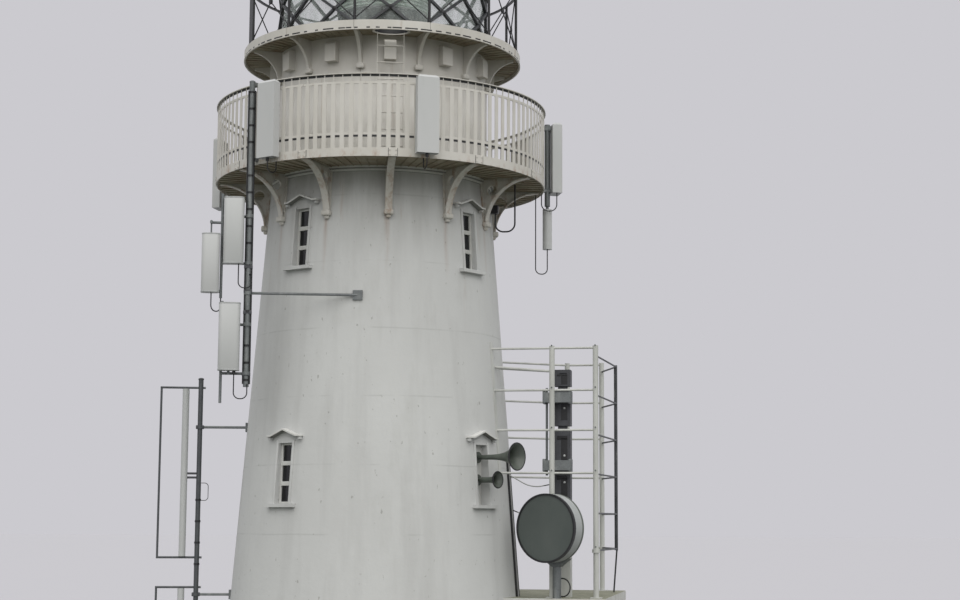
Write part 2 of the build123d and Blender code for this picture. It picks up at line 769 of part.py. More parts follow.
# Watchroom
watchroom_outline = [
    (watchroom_inner, LOWER_DECK_TOP),
    (WATCHROOM_RADIUS, LOWER_DECK_TOP),
    (WATCHROOM_RADIUS, UPPER_DECK_TOP),
    (watchroom_inner, UPPER_DECK_TOP),
]
GALLERY_DOOR_AZIMUTH = 180
with BuildPart() as watchroom_wall_plates:
    add(ring_segments(BRACKET_AZIMUTHS, PLATE_ARC, watchroom_outline))
    with BuildSketch(facing_plane(GALLERY_DOOR_AZIMUTH, watchroom_inner / 2, LOWER_DECK_TOP)):
        Rectangle(GALLERY_DOOR_WIDTH, GALLERY_DOOR_HEIGHT, align=(Align.CENTER, Align.MIN))
    extrude(amount=WATCHROOM_RADIUS, mode=Mode.SUBTRACT)

with BuildPart() as doors:
    with BuildSketch(annex_plane(0)):
        with Locations((annex_end - ANNEX_WALL / 2, ANNEX_DOOR_ALONG)):
            Rectangle(DOOR_THICKNESS, ANNEX_DOOR_WIDTH)
    extrude(amount=DOORWAY_TOP)
    with BuildSketch(facing_plane(GALLERY_DOOR_AZIMUTH, watchroom_inner, LOWER_DECK_TOP)):
        Rectangle(GALLERY_DOOR_WIDTH, GALLERY_DOOR_HEIGHT, align=(Align.CENTER, Align.MIN))
    extrude(amount=DOOR_THICKNESS)

with BuildPart() as ventilator:
    with BuildSketch(facing_plane(0, watchroom_inner, VENTILATOR_BASE)):
        Rectangle(VENTILATOR_WIDTH, VENTILATOR_HEIGHT, align=(Align.CENTER, Align.MIN))
    extrude(amount=WATCHROOM_WALL + VENTILATOR_DEPTH)
    fillet(ventilator.edges().group_by(Axis.Z)[-1].group_by(Axis.Y)[0], radius=VENTILATOR_DEPTH / 2)
    with BuildSketch():
        Circle(WATCHROOM_RADIUS)
    extrude(amount=UPPER_DECK_TOP, mode=Mode.SUBTRACT)

with BuildPart() as ventilator_boxes:
    with PolarLocations(0, BRACKET_COUNT):
        add(ventilator.part)

ladder_top = UPPER_DECK_TOP - UPPER_DECK_THICKNESS
with BuildPart() as manhole_ladder:
    with BuildSketch(Plane.XY.offset(LOWER_DECK_TOP)):
        with Locations((-LADDER_WIDTH / 2, -ladder_radius), (LADDER_WIDTH / 2, -ladder_radius)):
            Rectangle(LADDER_STILE, LADDER_STILE_DEPTH)
    extrude(amount=ladder_top - LOWER_DECK_TOP)
    rung_count = int((ladder_top - LOWER_DECK_TOP) / RUNG_PITCH)
    for index in range(rung_count):
        height = LOWER_DECK_TOP + RUNG_PITCH * (index + 0.75)
        add(
            round_bar(
                (-LADDER_WIDTH / 2, -ladder_radius, height),
                (LADDER_WIDTH / 2, -ladder_radius, height),
                RUNG_DIAMETER,
            )
        )

# Upper gallery
kerb_inner = UPPER_GALLERY_RADIUS - KERB_THICKNESS
upper_plate_outline = [
    (WATCHROOM_RADIUS, upper_low),
    (kerb_inner, upper_low),
    (kerb_inner, UPPER_DECK_TOP),
    (WATCHROOM_RADIUS, UPPER_DECK_TOP),
]
with BuildPart() as upper_gallery_deck:
    add(ring_segments(BRACKET_AZIMUTHS[1:], PLATE_ARC, upper_plate_outline))

with BuildPart() as manhole_plate:
    add(ring_segments((0,), PLATE_ARC, upper_plate_outline))
    with BuildSketch(Plane.XY.offset(upper_low)):
        with Locations((0, -manhole_radius)):
            Ellipse(MANHOLE_WIDTH / 2, MANHOLE_DEPTH / 2)
    extrude(amount=UPPER_DECK_THICKNESS, mode=Mode.SUBTRACT)

kerb_low = UPPER_DECK_TOP + 10 - KERB_HEIGHT
with BuildPart() as upper_gallery_kerb:
    add(
        ring_segments(
            BRACKET_AZIMUTHS,
            PLATE_ARC,
            [
                (kerb_inner, kerb_low),
                (UPPER_GALLERY_RADIUS, kerb_low),
                (UPPER_GALLERY_RADIUS, UPPER_DECK_TOP + 10),
                (kerb_inner, UPPER_DECK_TOP + 10),
            ],
        )
    )

upper_foot = upper_low - UPPER_BRACKET_DROP
with BuildPart() as upper_bracket:
    with BuildSketch(radial_plane(180 / BRACKET_COUNT)):
        with BuildLine():
            Polyline(
                (WATCHROOM_RADIUS + 60, upper_foot),
                (WATCHROOM_RADIUS, upper_foot),
                (WATCHROOM_RADIUS, upper_low),
                (upper_bracket_reach, upper_low),
                (upper_bracket_reach, upper_low - 50),
            )
            ThreePointArc(
                (upper_bracket_reach, upper_low - 50),
                (WATCHROOM_RADIUS + 220, upper_low - 200),
                (WATCHROOM_RADIUS + 60, upper_foot),
            )
        make_face()
    extrude(amount=UPPER_BRACKET_WEB / 2, both=True)
    with BuildSketch():
        Circle(WATCHROOM_RADIUS)
    extrude(amount=UPPER_DECK_TOP, mode=Mode.SUBTRACT)

with BuildPart() as upper_gallery_brackets:
    with PolarLocations(0, BRACKET_COUNT):
        add(upper_bracket.part)

stanchion_top = UPPER_DECK_TOP + STANCHION_HEIGHT
with BuildPart() as upper_gallery_stanchions:
    with BuildSketch(Plane.XY.offset(UPPER_DECK_TOP)):
        with PolarLocations(stanchion_radius, BRACKET_COUNT, start_angle=180 / BRACKET_COUNT):
            Circle(STANCHION_DIAMETER / 2)
    extrude(amount=STANCHION_HEIGHT)

with BuildPart() as upper_gallery_rods:
    for azimuth in BRACKET_AZIMUTHS:
        left, right = azimuth - 180 / BRACKET_COUNT, azimuth + 180 / BRACKET_COUNT
        for first, second in ((left, right), (right, left)):
            add(
                round_bar(
                    plan_point(first, stanchion_radius, UPPER_DECK_TOP + 60),
                    plan_point(second, stanchion_radius, stanchion_top - 60),
                    ROD_DIAMETER,
                )
            )
    add(upper_gallery_stanchions.part, mode=Mode.SUBTRACT)

with BuildPart() as upper_gallery_top_rail:
    add(
        ring_segments(
            BRACKET_AZIMUTHS,
            PLATE_ARC,
            [
                (stanchion_radius - STANCHION_DIAMETER / 2, stanchion_top),
                (stanchion_radius + STANCHION_DIAMETER / 2, stanchion_top),
                (stanchion_radius + STANCHION_DIAMETER / 2, stanchion_top + UPPER_RAIL_THICKNESS),
                (stanchion_radius - STANCHION_DIAMETER / 2, stanchion_top + UPPER_RAIL_THICKNESS),
            ],
        )
    )

# Lantern
glazing_low = UPPER_DECK_TOP + SILL_HEIGHT
glazing_top = glazing_low + ASTRAGAL_ROW * ASTRAGAL_ROWS
with BuildPart() as lantern_sill:
    add(
        ring_segments(
            BRACKET_AZIMUTHS,
            PLATE_ARC,
            [
                (watchroom_inner, UPPER_DECK_TOP),
                (ASTRAGAL_RADIUS + ASTRAGAL_DEPTH / 2, UPPER_DECK_TOP),
                (ASTRAGAL_RADIUS + ASTRAGAL_DEPTH / 2, glazing_low),
                (watchroom_inner, glazing_low),
            ],
        )
    )

half_sector = 180 / BRACKET_COUNT
glazing_band = ring_segments(
    (0,),
    PLATE_ARC,
    [
        (watchroom_inner, glazing_low),
        (WATCHROOM_RADIUS + 2 * ASTRAGAL_DEPTH, glazing_low),
        (WATCHROOM_RADIUS + 2 * ASTRAGAL_DEPTH, glazing_top),
        (watchroom_inner, glazing_top),
    ],
)
with BuildPart() as astragal_sector:
    for row in range(ASTRAGAL_ROWS):
        low = glazing_low + row * ASTRAGAL_ROW
        for side in (-half_sector, half_sector):
            start, end = (side, 0) if row % 2 == 0 else (0, side)
            add(
                square_bar(
                    plan_point(start, ASTRAGAL_RADIUS, low),
                    plan_point(end, ASTRAGAL_RADIUS, low + ASTRAGAL_ROW),
                    ASTRAGAL_WIDTH,
                    ASTRAGAL_DEPTH,
                )
            )

    add(glazing_band, mode=Mode.INTERSECT)

with BuildPart() as lantern_astragals:
    with PolarLocations(0, BRACKET_COUNT):
        add(astragal_sector.part)

facet = cos(radians(half_sector / 2))
glass_outer = (ASTRAGAL_RADIUS * facet - ASTRAGAL_DEPTH / 2) / facet
glass_inner = glass_outer - LANTERN_GLASS / facet
glass_corners = [plan_point(side, glass_outer, 0)[:2] for side in (-half_sector, 0, half_sector)]
glass_corners += [plan_point(side, glass_inner, 0)[:2] for side in (half_sector, 0, -half_sector)]
with BuildPart() as glass_sector:
    with BuildSketch(Plane.XY.offset(glazing_low)):
        with BuildLine():
            Polyline(*glass_corners, close=True)
        make_face()
    extrude(amount=glazing_top - glazing_low)
    add(glazing_band, mode=Mode.INTERSECT)

with BuildPart() as lantern_glass:
    with PolarLocations(0, BRACKET_COUNT):
        add(glass_sector.part)

cornice_top = glazing_top + CORNICE_HEIGHT
cornice_radius = ASTRAGAL_RADIUS + CORNICE_PROJECTION
with BuildPart() as lantern_cornice:
    add(
        ring_segments(
            BRACKET_AZIMUTHS,
            PLATE_ARC,
            [
                (watchroom_inner, glazing_top),
                (ASTRAGAL_RADIUS + 50, glazing_top),
                (ASTRAGAL_RADIUS + 70, glazing_top + 120),
                (cornice_radius, glazing_top + 150),
                (cornice_radius, cornice_top),
                (watchroom_inner, cornice_top),
            ],
        )
    )

roof_top = cornice_top + ROOF_RISE
roof_foot = cornice_radius - 60
with BuildPart() as roof_gores:
    for azimuth in BRACKET_AZIMUTHS:
        with BuildSketch(radial_plane(azimuth - PLATE_ARC / 2)):
            with BuildLine():
                ThreePointArc(
                    (roof_foot, cornice_top),
                    (ROOF_HAUNCH_RADIUS, cornice_top + ROOF_HAUNCH_RISE),
                    (ROOF_TOP_RADIUS, roof_top),
                )
                Line((ROOF_TOP_RADIUS, roof_top), (ROOF_TOP_RADIUS, roof_top - ROOF_PLATE))
                ThreePointArc(
                    (ROOF_TOP_RADIUS, roof_top - ROOF_PLATE),
                    (ROOF_HAUNCH_RADIUS - ROOF_PLATE, cornice_top + ROOF_HAUNCH_RISE - ROOF_PLATE),
                    (roof_foot - ROOF_PLATE, cornice_top),
                )
                Line((roof_foot - ROOF_PLATE, cornice_top), (roof_foot, cornice_top))
            make_face()
        revolve(axis=Axis.Z, revolution_arc=PLATE_ARC)

with BuildPart() as ventilator_ball:
    with BuildSketch(Plane.XY.offset(roof_top)):
        Circle(ROOF_TOP_RADIUS + 20)
    extrude(amount=60)
    with BuildSketch(Plane.XY.offset(roof_top + 60)):
        Circle(180)
    extrude(amount=120)
    with Locations((0, 0, roof_top + 160 + BALL_RADIUS)):
        Sphere(BALL_RADIUS)

with BuildPart() as lightning_rod:
    with BuildSketch(Plane.XY.offset(roof_top + 150 + 2 * BALL_RADIUS)):
        Circle(18)
    extrude(amount=ROD_HEIGHT)
    add(ventilator_ball.part, mode=Mode.SUBTRACT)

# Lens on its pedestal
with BuildPart() as lens_pedestal:
    with BuildSketch(Plane.XY.offset(UPPER_DECK_TOP)):
        Circle(LENS_RADIUS / 2)
    extrude(amount=LENS_BASE - UPPER_DECK_TOP - 60)
    with BuildSketch(Plane.XY.offset(LENS_BASE - 60)):
        Circle(LENS_RADIUS + 20)
    extrude(amount=60)

with BuildPart() as lens:
    with BuildSketch(Plane.XZ):
        with BuildLine():
            Polyline(
                (LENS_RADIUS - LENS_WALL, LENS_BASE),
                (LENS_RADIUS, LENS_BASE),
                (LENS_RADIUS + 60, LENS_BASE + 500),
                (LENS_RADIUS + 60, LENS_BASE + 1050),
                (LENS_RADIUS * 0.55, LENS_BASE + LENS_HEIGHT),
                (LENS_RADIUS * 0.55 - LENS_WALL, LENS_BASE + LENS_HEIGHT),
                (LENS_RADIUS + 60 - LENS_WALL, LENS_BASE + 1000),
                (LENS_RADIUS + 60 - LENS_WALL, LENS_BASE + 500),
                close=True,
            )
        make_face()
    revolve(axis=Axis.Z)

# Masts: one clamped to the lower gallery, one beside the tower
mast_x, mast_y = plan_point(MAST_AZIMUTH, GALLERY_RADIUS + MAST_STANDOFF, 0)[:2]
low_mast_x, low_mast_y = plan_point(LOW_MAST_AZIMUTH, LOW_MAST_RADIUS, 0)[:2]
mast_top = MAST_BASE + MAST_HEIGHT


def mast_point(across, forward, height):
    """Point beside the gallery mast."""
    return (mast_x + across, mast_y - forward, height)


def low_mast_point(across, height):
    """Point beside the low mast."""
    return (low_mast_x + across, low_mast_y, height)


with BuildPart() as aerial_masts:
    add(round_bar(mast_point(0, 0, MAST_BASE), mast_point(0, 0, mast_top), MAST_DIAMETER))
    add(round_bar(low_mast_point(0, LOW_MAST_BASE), low_mast_point(0, LOW_MAST_TOP), LOW_MAST_DIAMETER))


def rounded_aerial(width, across, base, height):
    """Long aerial with rounded corners that stands beside the gallery mast."""
    with BuildPart() as aerial:
        with BuildSketch(Plane(origin=mast_point(across, AERIAL_FORWARD, base))):
            RectangleRounded(width, AERIAL_DEPTH, AERIAL_CORNER)
        extrude(amount=height)
        fillet(aerial.faces().sort_by(Axis.Z)[-1].edges(), radius=AERIAL_CORNER / 3)
    return aerial.part


with BuildPart() as rounded_aerials:
    add(rounded_aerial(UPPER_AERIAL_WIDTH, UPPER_AERIAL_ACROSS, UPPER_AERIAL_BASE, UPPER_AERIAL_HEIGHT))
    add(rounded_aerial(OUTER_AERIAL_WIDTH, OUTER_AERIAL_ACROSS, OUTER_AERIAL_BASE, OUTER_AERIAL_HEIGHT))
    add(rounded_aerial(LOWER_AERIAL_WIDTH, LOWER_AERIAL_ACROSS, LOWER_AERIAL_BASE, LOWER_AERIAL_HEIGHT))

rod_low_frames = [ROD_FRAME_TOP - ROD_FRAME_HEIGHT - index * ROD_FRAME_PITCH for index in range(2)]
with BuildPart() as rod_aerials:
    for low in rod_low_frames:
        add(
            round_bar(
                low_mast_point(ROD_AERIAL_ACROSS, low + FRAME_TUBE / 2),
                low_mast_point(ROD_AERIAL_ACROSS, low + ROD_FRAME_HEIGHT - FRAME_TUBE / 2),
                ROD_AERIAL_DIAMETER,
            )
        )

back_forward = AERIAL_FORWARD - AERIAL_DEPTH / 2 - CARRIER_PIPE / 2
aerial_tops = (
    (UPPER_AERIAL_ACROSS, UPPER_AERIAL_BASE, UPPER_AERIAL_HEIGHT),
    (LOWER_AERIAL_ACROSS, LOWER_AERIAL_BASE, LOWER_AERIAL_HEIGHT),
)
with BuildPart() as aerial_mast_arms:
    add(
        round_bar(
            mast_point(UPPER_PIPE_ACROSS, back_forward, UPPER_PIPE_BASE),
            mast_point(UPPER_PIPE_ACROSS, back_forward, UPPER_PIPE_BASE + UPPER_PIPE_HEIGHT),
            CARRIER_PIPE,
        )
    )
    add(
        round_bar(
            mast_point(LOWER_PIPE_ACROSS, back_forward, LOWER_PIPE_BASE),
            mast_point(LOWER_PIPE_ACROSS, back_forward, LOWER_PIPE_BASE + LOWER_PIPE_HEIGHT),
            CARRIER_PIPE,
        )
    )
    for pipe_across, (across, base, height) in zip((UPPER_PIPE_ACROSS, LOWER_PIPE_ACROSS), aerial_tops):
        low_arm = base - ARM_BELOW_AERIAL
        for arm_height in (low_arm, base + 2 * height / 3):
            add(
                round_bar(
                    mast_point(0, back_forward, arm_height),
                    mast_point(pipe_across, back_forward, arm_height),
                    ARM_DIAMETER,
                )
            )
            add(
                round_bar(
                    mast_point(0, 0, arm_height - COLLAR_HEIGHT / 2),
                    mast_point(0, 0, arm_height + COLLAR_HEIGHT / 2),
                    MAST_DIAMETER + 2 * COLLAR_WALL,
                )
            )
        add(
            round_bar(
                mast_point(across, back_forward, low_arm),
                mast_point(across, AERIAL_FORWARD, low_arm),
                ARM_DIAMETER,
            )
        )
        add(
            round_bar(
                mast_point(across, AERIAL_FORWARD, low_arm),
                mast_point(across, AERIAL_FORWARD, base),
                ARM_DIAMETER,
            )
        )
    outer_low = OUTER_AERIAL_BASE - ARM_BELOW_AERIAL
    outer_high = OUTER_AERIAL_BASE + OUTER_AERIAL_HEIGHT + ARM_BELOW_AERIAL
    outer_top = outer_high - ARM_BELOW_AERIAL
    for arm_height, end_height in ((outer_low, OUTER_AERIAL_BASE), (outer_high, outer_top)):
        add(
            round_bar(
                mast_point(UPPER_PIPE_ACROSS, back_forward, arm_height),
                mast_point(OUTER_AERIAL_ACROSS, back_forward, arm_height),
                ARM_DIAMETER,
            )
        )
        add(
            round_bar(
                mast_point(OUTER_AERIAL_ACROSS, back_forward - ARM_DIAMETER / 2, arm_height),
                mast_point(OUTER_AERIAL_ACROSS, AERIAL_FORWARD, arm_height),
                ARM_DIAMETER,
            )
        )
        add(
            round_bar(
                mast_point(OUTER_AERIAL_ACROSS, AERIAL_FORWARD, arm_height),
                mast_point(OUTER_AERIAL_ACROSS, AERIAL_FORWARD, end_height),
                ARM_DIAMETER,
            )
        )
    stay_radius = tower_radius(STAY_HEIGHT) + WALL_PAD / 2
    stay_end = plan_point(STAY_AZIMUTH, stay_radius, STAY_HEIGHT)
    add(round_bar(mast_point(0, 0, STAY_HEIGHT), stay_end, ARM_DIAMETER))
    add(wall_block(STAY_AZIMUTH, WALL_PAD, STAY_HEIGHT, WALL_PAD_SIZE, WALL_PAD_SIZE))
    add(
        round_bar(
            mast_point(0, 0, STAY_HEIGHT - COLLAR_HEIGHT / 2),
            mast_point(0, 0, STAY_HEIGHT + COLLAR_HEIGHT / 2),
            MAST_DIAMETER + 2 * COLLAR_WALL,
        )
    )
    rail_edge = slat_radius + TOP_RAIL_WIDTH / 2
    clamp_low = LOWER_DECK_TOP + TOP_RAIL_HEIGHT + TOP_RAIL_THICKNESS / 2 - MAST_CLAMP_HEIGHT
    mast_radius = GALLERY_RADIUS + MAST_STANDOFF
    add(
        radial_block(
            MAST_AZIMUTH, rail_edge, mast_radius, clamp_low, clamp_low + MAST_CLAMP_HEIGHT, MAST_CLAMP_WIDTH
        )
    )
    add(
        radial_block(
            MAST_AZIMUTH,
            GALLERY_RADIUS,
            mast_radius,
            LOWER_DECK_TOP - FASCIA_HEIGHT / 2 - MAST_CLAMP_HEIGHT / 2,
            LOWER_DECK_TOP - FASCIA_HEIGHT / 2 + MAST_CLAMP_HEIGHT / 2,
            MAST_CLAMP_WIDTH,
        )
    )
    for arm_height in (LOW_ARM_HEIGHT, LOW_ARM_HEIGHT - LOW_ARM_PITCH):
        pad_radius = tower_radius(arm_height) + WALL_PAD / 2
        wall_end = plan_point(LOW_MAST_AZIMUTH, pad_radius, arm_height)
        add(round_bar(low_mast_point(0, arm_height), wall_end, ARM_DIAMETER))
        add(wall_block(LOW_MAST_AZIMUTH, WALL_PAD, arm_height, WALL_PAD_SIZE, WALL_PAD_SIZE))
        add(
            round_bar(
                low_mast_point(0, arm_height - COLLAR_HEIGHT / 2),
                low_mast_point(0, arm_height + COLLAR_HEIGHT / 2),
                LOW_MAST_DIAMETER + 2 * COLLAR_WALL,
            )
        )
    for low in rod_low_frames:
        for arm_height in (low, low + ROD_FRAME_HEIGHT):
            add(
                round_bar(
                    low_mast_point(ROD_FRAME_ACROSS - FRAME_TUBE / 2, arm_height),
                    low_mast_point(LOW_MAST_DIAMETER, arm_height),
                    FRAME_TUBE,
                )
            )
        add(
            round_bar(
                low_mast_point(ROD_FRAME_ACROSS, low),
                low_mast_point(ROD_FRAME_ACROSS, low + ROD_FRAME_HEIGHT),
                FRAME_TUBE,
            )
        )
    add(tower_body.part, mode=Mode.SUBTRACT)
    add(aerial_masts.part, mode=Mode.SUBTRACT)
    add(rounded_aerials.part, mode=Mode.SUBTRACT)

# Flat aerials round the lower gallery
panel_inner = GALLERY_RADIUS + PANEL_STANDOFF
right_pipe_radius = GALLERY_RADIUS + RIGHT_PIPE_STANDOFF
right_panel_inner = right_pipe_radius + RIGHT_PIPE_DIAMETER / 2 + RIGHT_PANEL_GAP
right_pipe_x, right_pipe_y = plan_point(RIGHT_PANEL_AZIMUTH, right_pipe_radius, 0)[:2]


def flat_aerial(azimuth, inner, depth, base):
    """Flat aerial with a chamfered top, its back at a radius."""
    with BuildPart() as aerial:
        with BuildSketch(facing_plane(azimuth, inner, base)):
            Rectangle(PANEL_WIDTH, PANEL_HEIGHT, align=(Align.CENTER, Align.MIN))
        extrude(amount=depth)
        chamfer(aerial.faces().sort_by(Axis.Z)[-1].edges(), length=PANEL_CHAMFER)
    return aerial.part


with BuildPart() as panel_aerials:
    for azimuth in PANEL_AZIMUTHS:
        add(flat_aerial(azimuth, panel_inner, PANEL_DEPTH, PANEL_BASE))
    add(flat_aerial(LEFT_PANEL_AZIMUTH, panel_inner, PANEL_DEPTH, LEFT_PANEL_BASE))
    add(flat_aerial(RIGHT_PANEL_AZIMUTH, right_panel_inner, RIGHT_PANEL_DEPTH, PANEL_BASE))
    add(
        upright_pipe(
            (right_pipe_x, right_pipe_y),
            RIGHT_PIPE_BASE - CONNECTOR_HEIGHT - TUBE_AERIAL_HEIGHT,
            RIGHT_PIPE_BASE - CONNECTOR_HEIGHT,
            TUBE_AERIAL_DIAMETER,
        )
    )

slat_outer = hypot(slat_radius + PIN_SIZE / 2, SLAT_WIDTH / 2)
upper_clamp = LOWER_DECK_TOP + UPPER_CLAMP_RISE
lower_clamp = LOWER_DECK_TOP - LOWER_CLAMP_DROP
left_clamp = LEFT_PANEL_BASE + PANEL_HEIGHT - CLAMP_HEIGHT
with BuildPart() as panel_aerial_mounts:
    for azimuth in PANEL_AZIMUTHS:
        add(
            radial_block(
                azimuth, slat_outer, panel_inner, upper_clamp, upper_clamp + CLAMP_HEIGHT, CLAMP_WIDTH
            )
        )
        add(
            radial_block(
                azimuth, GALLERY_RADIUS, panel_inner, lower_clamp, lower_clamp + CLAMP_HEIGHT / 2, CLAMP_WIDTH
            )
        )
    add(
        radial_block(
            LEFT_PANEL_AZIMUTH, slat_outer, panel_inner, left_clamp - CLAMP_HEIGHT, left_clamp, CLAMP_WIDTH
        )
    )
    add(
        radial_block(
            LEFT_PANEL_AZIMUTH,
            GALLERY_RADIUS,
            panel_inner,
            lower_clamp,
            lower_clamp + CLAMP_HEIGHT / 2,
            CLAMP_WIDTH,
        )
    )
    add(
        upright_pipe(
            (right_pipe_x, right_pipe_y),
            RIGHT_PIPE_BASE,
            RIGHT_PIPE_BASE + RIGHT_PIPE_HEIGHT,
            RIGHT_PIPE_DIAMETER,
        )
    )
    add(
        upright_pipe(
            (right_pipe_x, right_pipe_y),
            RIGHT_PIPE_BASE - CONNECTOR_HEIGHT,
            RIGHT_PIPE_BASE,
            CONNECTOR_DIAMETER,
        )
    )
    add(
        radial_block(
            RIGHT_PANEL_AZIMUTH,
            slat_outer,
            right_panel_inner,
            upper_clamp,
            upper_clamp + CLAMP_HEIGHT,
            CLAMP_WIDTH,
        )
    )
    add(
        radial_block(
            RIGHT_PANEL_AZIMUTH,
            GALLERY_RADIUS,
            right_panel_inner,
            lower_clamp,
            lower_clamp + CLAMP_HEIGHT / 2,
            CLAMP_WIDTH,
        )
    )

with BuildPart() as gallery_mesh_panel:
    with BuildSketch(facing_plane(MESH_AZIMUTH, UPPER_GALLERY_RADIUS - MESH_THICKNESS, UPPER_DECK_TOP)):
        Rectangle(MESH_WIDTH, MESH_HEIGHT, align=(Align.CENTER, Align.MIN))
    extrude(amount=-MESH_THICKNESS)
    add(upper_gallery_stanchions.part, mode=Mode.SUBTRACT)
    add(upper_gallery_top_rail.part, mode=Mode.SUBTRACT)
    add(upper_gallery_rods.part, mode=Mode.SUBTRACT)

# Fog signal stand
with BuildPart() as fog_stand_posts:
    for out, along in (
        (INNER_POST_OUT, -STAND_FRONT),
        (OUTER_POST_OUT, -STAND_FRONT),
        (BACK_INNER_POST_OUT, STAND_BACK),
        (BACK_OUTER_POST_OUT, STAND_BACK),
    ):
        with BuildSketch(annex_plane(ANNEX_SLAB_TOP)):
            with Locations((out, along)):
                Rectangle(POST_PLATE, POST_PLATE)
        extrude(amount=POST_PLATE_THICKNESS)
        with BuildSketch(annex_plane(ANNEX_SLAB_TOP)):
            with Locations((out, along)):
                Circle(STAND_POST_DIAMETER / 2)
        extrude(amount=STAND_TOP - ANNEX_SLAB_TOP)
        with BuildSketch(annex_plane(SLEEVE_HEIGHT)):
            with Locations((out, along)):
                Circle(STAND_POST_DIAMETER / 2 + COLLAR_WALL)
        extrude(amount=COLLAR_HEIGHT)
    with BuildSketch(annex_plane(ANNEX_SLAB_TOP)):
        with Locations((STACK_OUT, STACK_ALONG + STACK_DEPTH / 2)):
            Rectangle(STACK_WIDTH, STACK_DEPTH)
    extrude(amount=STACK_BASE - ANNEX_SLAB_TOP)

flat_arc = degrees(WALL_FLAT_WIDTH / tower_radius(WALL_FLAT_TOP))
with BuildPart() as fog_stand_rails:
    for azimuth, first_post, second_post, along in (
        (WALL_FLAT_AZIMUTH, INNER_POST_OUT, OUTER_POST_OUT, -STAND_FRONT),
        (BACK_FLAT_AZIMUTH, BACK_INNER_POST_OUT, BACK_OUTER_POST_OUT, STAND_BACK),
    ):
        add(
            ring_segments(
                (azimuth,),
                flat_arc,
                [
                    (tower_radius(WALL_FLAT_BASE), WALL_FLAT_BASE),
                    (tower_radius(WALL_FLAT_BASE) + WALL_FLAT_THICKNESS, WALL_FLAT_BASE),
                    (tower_radius(WALL_FLAT_TOP) + WALL_FLAT_THICKNESS, WALL_FLAT_TOP),
                    (tower_radius(WALL_FLAT_TOP), WALL_FLAT_TOP),
                ],
            )
        )
        for height in STAND_RAIL_HEIGHTS:
            wall_end = plan_point(azimuth, tower_radius(height) + WALL_FLAT_THICKNESS / 2, height)
            middle = annex_point(first_post, along, height)
            add(round_bar(wall_end, middle, STAND_RAIL_DIAMETER))
            add(round_bar(middle, annex_point(second_post, along, height), STAND_RAIL_DIAMETER))
    for azimuth in STRUT_AZIMUTHS:
        add(
            round_bar(
                plan_point(azimuth, tower_radius(STRUT_HEIGHT) - STRUT_DIAMETER, STRUT_HEIGHT),
                annex_point(INNER_POST_OUT, -STAND_FRONT, STRUT_HEIGHT - STRUT_DROP),
                STRUT_DIAMETER,
            )
        )
    add(tower_body.part, mode=Mode.SUBTRACT)
    add(fog_stand_posts.part, mode=Mode.SUBTRACT)

with BuildPart() as guard_foot:
    add(
        round_bar(
            annex_point(GUARD_OUT, GUARD_ALONG, GUARD_HEIGHTS[-1]),
            annex_point(GUARD_FOOT_OUT, GUARD_FOOT_ALONG, ANNEX_SLAB_TOP - GUARD_DIAMETER),
            GUARD_DIAMETER,
        )
    )
    add(annex_roof_slab.part, mode=Mode.SUBTRACT)

with BuildPart() as fog_stand_guard:
    for height in GUARD_HEIGHTS:
        corner = annex_point(GUARD_OUT, GUARD_ALONG, height)
        add(round_bar(annex_point(OUTER_POST_OUT, -STAND_FRONT, height), corner, GUARD_DIAMETER))
        add(round_bar(corner, annex_point(BACK_OUTER_POST_OUT, STAND_BACK, height), GUARD_DIAMETER))
    beside_out = GUARD_OUT + (BACK_OUTER_POST_OUT - GUARD_OUT) / 12
    beside_along = GUARD_ALONG + (STAND_BACK - GUARD_ALONG) / 12
    for out, along in ((GUARD_OUT, GUARD_ALONG), (beside_out, beside_along)):
        add(
            round_bar(
                annex_point(out, along, GUARD_HEIGHTS[-1] - GUARD_DIAMETER),
                annex_point(out, along, GUARD_HEIGHTS[0] + GUARD_DIAMETER),
                GUARD_UPRIGHT_DIAMETER,
            )
        )
    add(guard_foot.part)
    add(fog_stand_posts.part, mode=Mode.SUBTRACT)

# Horn stack: modules with a hooked recess, on one column
stack_top = STACK_BASE + STACK_MODULES * (STACK_MODULE + STACK_GAP) + STACK_CAP
with BuildPart() as horn_stack:
    for index in range(STACK_MODULES + 1):
        low = STACK_BASE + index * (STACK_MODULE + STACK_GAP)
        tall = STACK_MODULE if index < STACK_MODULES else STACK_CAP
        with BuildSketch(annex_front_plane(STACK_OUT, STACK_ALONG, low)):
            Rectangle(STACK_WIDTH, tall, align=(Align.CENTER, Align.MIN))
        extrude(amount=-STACK_DEPTH)
        with BuildSketch(annex_front_plane(STACK_OUT, STACK_ALONG, low)):
            with Locations((STACK_WIDTH / 8, tall * 0.3)):
                Rectangle(STACK_WIDTH / 3, tall * 0.5, align=(Align.CENTER, Align.MIN))
            with Locations((STACK_WIDTH / 8 - STACK_WIDTH / 6, tall * 0.72)):
                Rectangle(STACK_WIDTH / 8, tall * 0.08, align=(Align.MAX, Align.MIN))
        extrude(amount=-STACK_RECESS, mode=Mode.SUBTRACT)
    with BuildSketch(annex_plane(STACK_BASE)):
        with Locations((STACK_OUT, STACK_ALONG + STACK_DEPTH / 2)):
            Rectangle(STACK_COLUMN, STACK_COLUMN)
    extrude(amount=stack_top - STACK_BASE - STACK_CAP / 2)

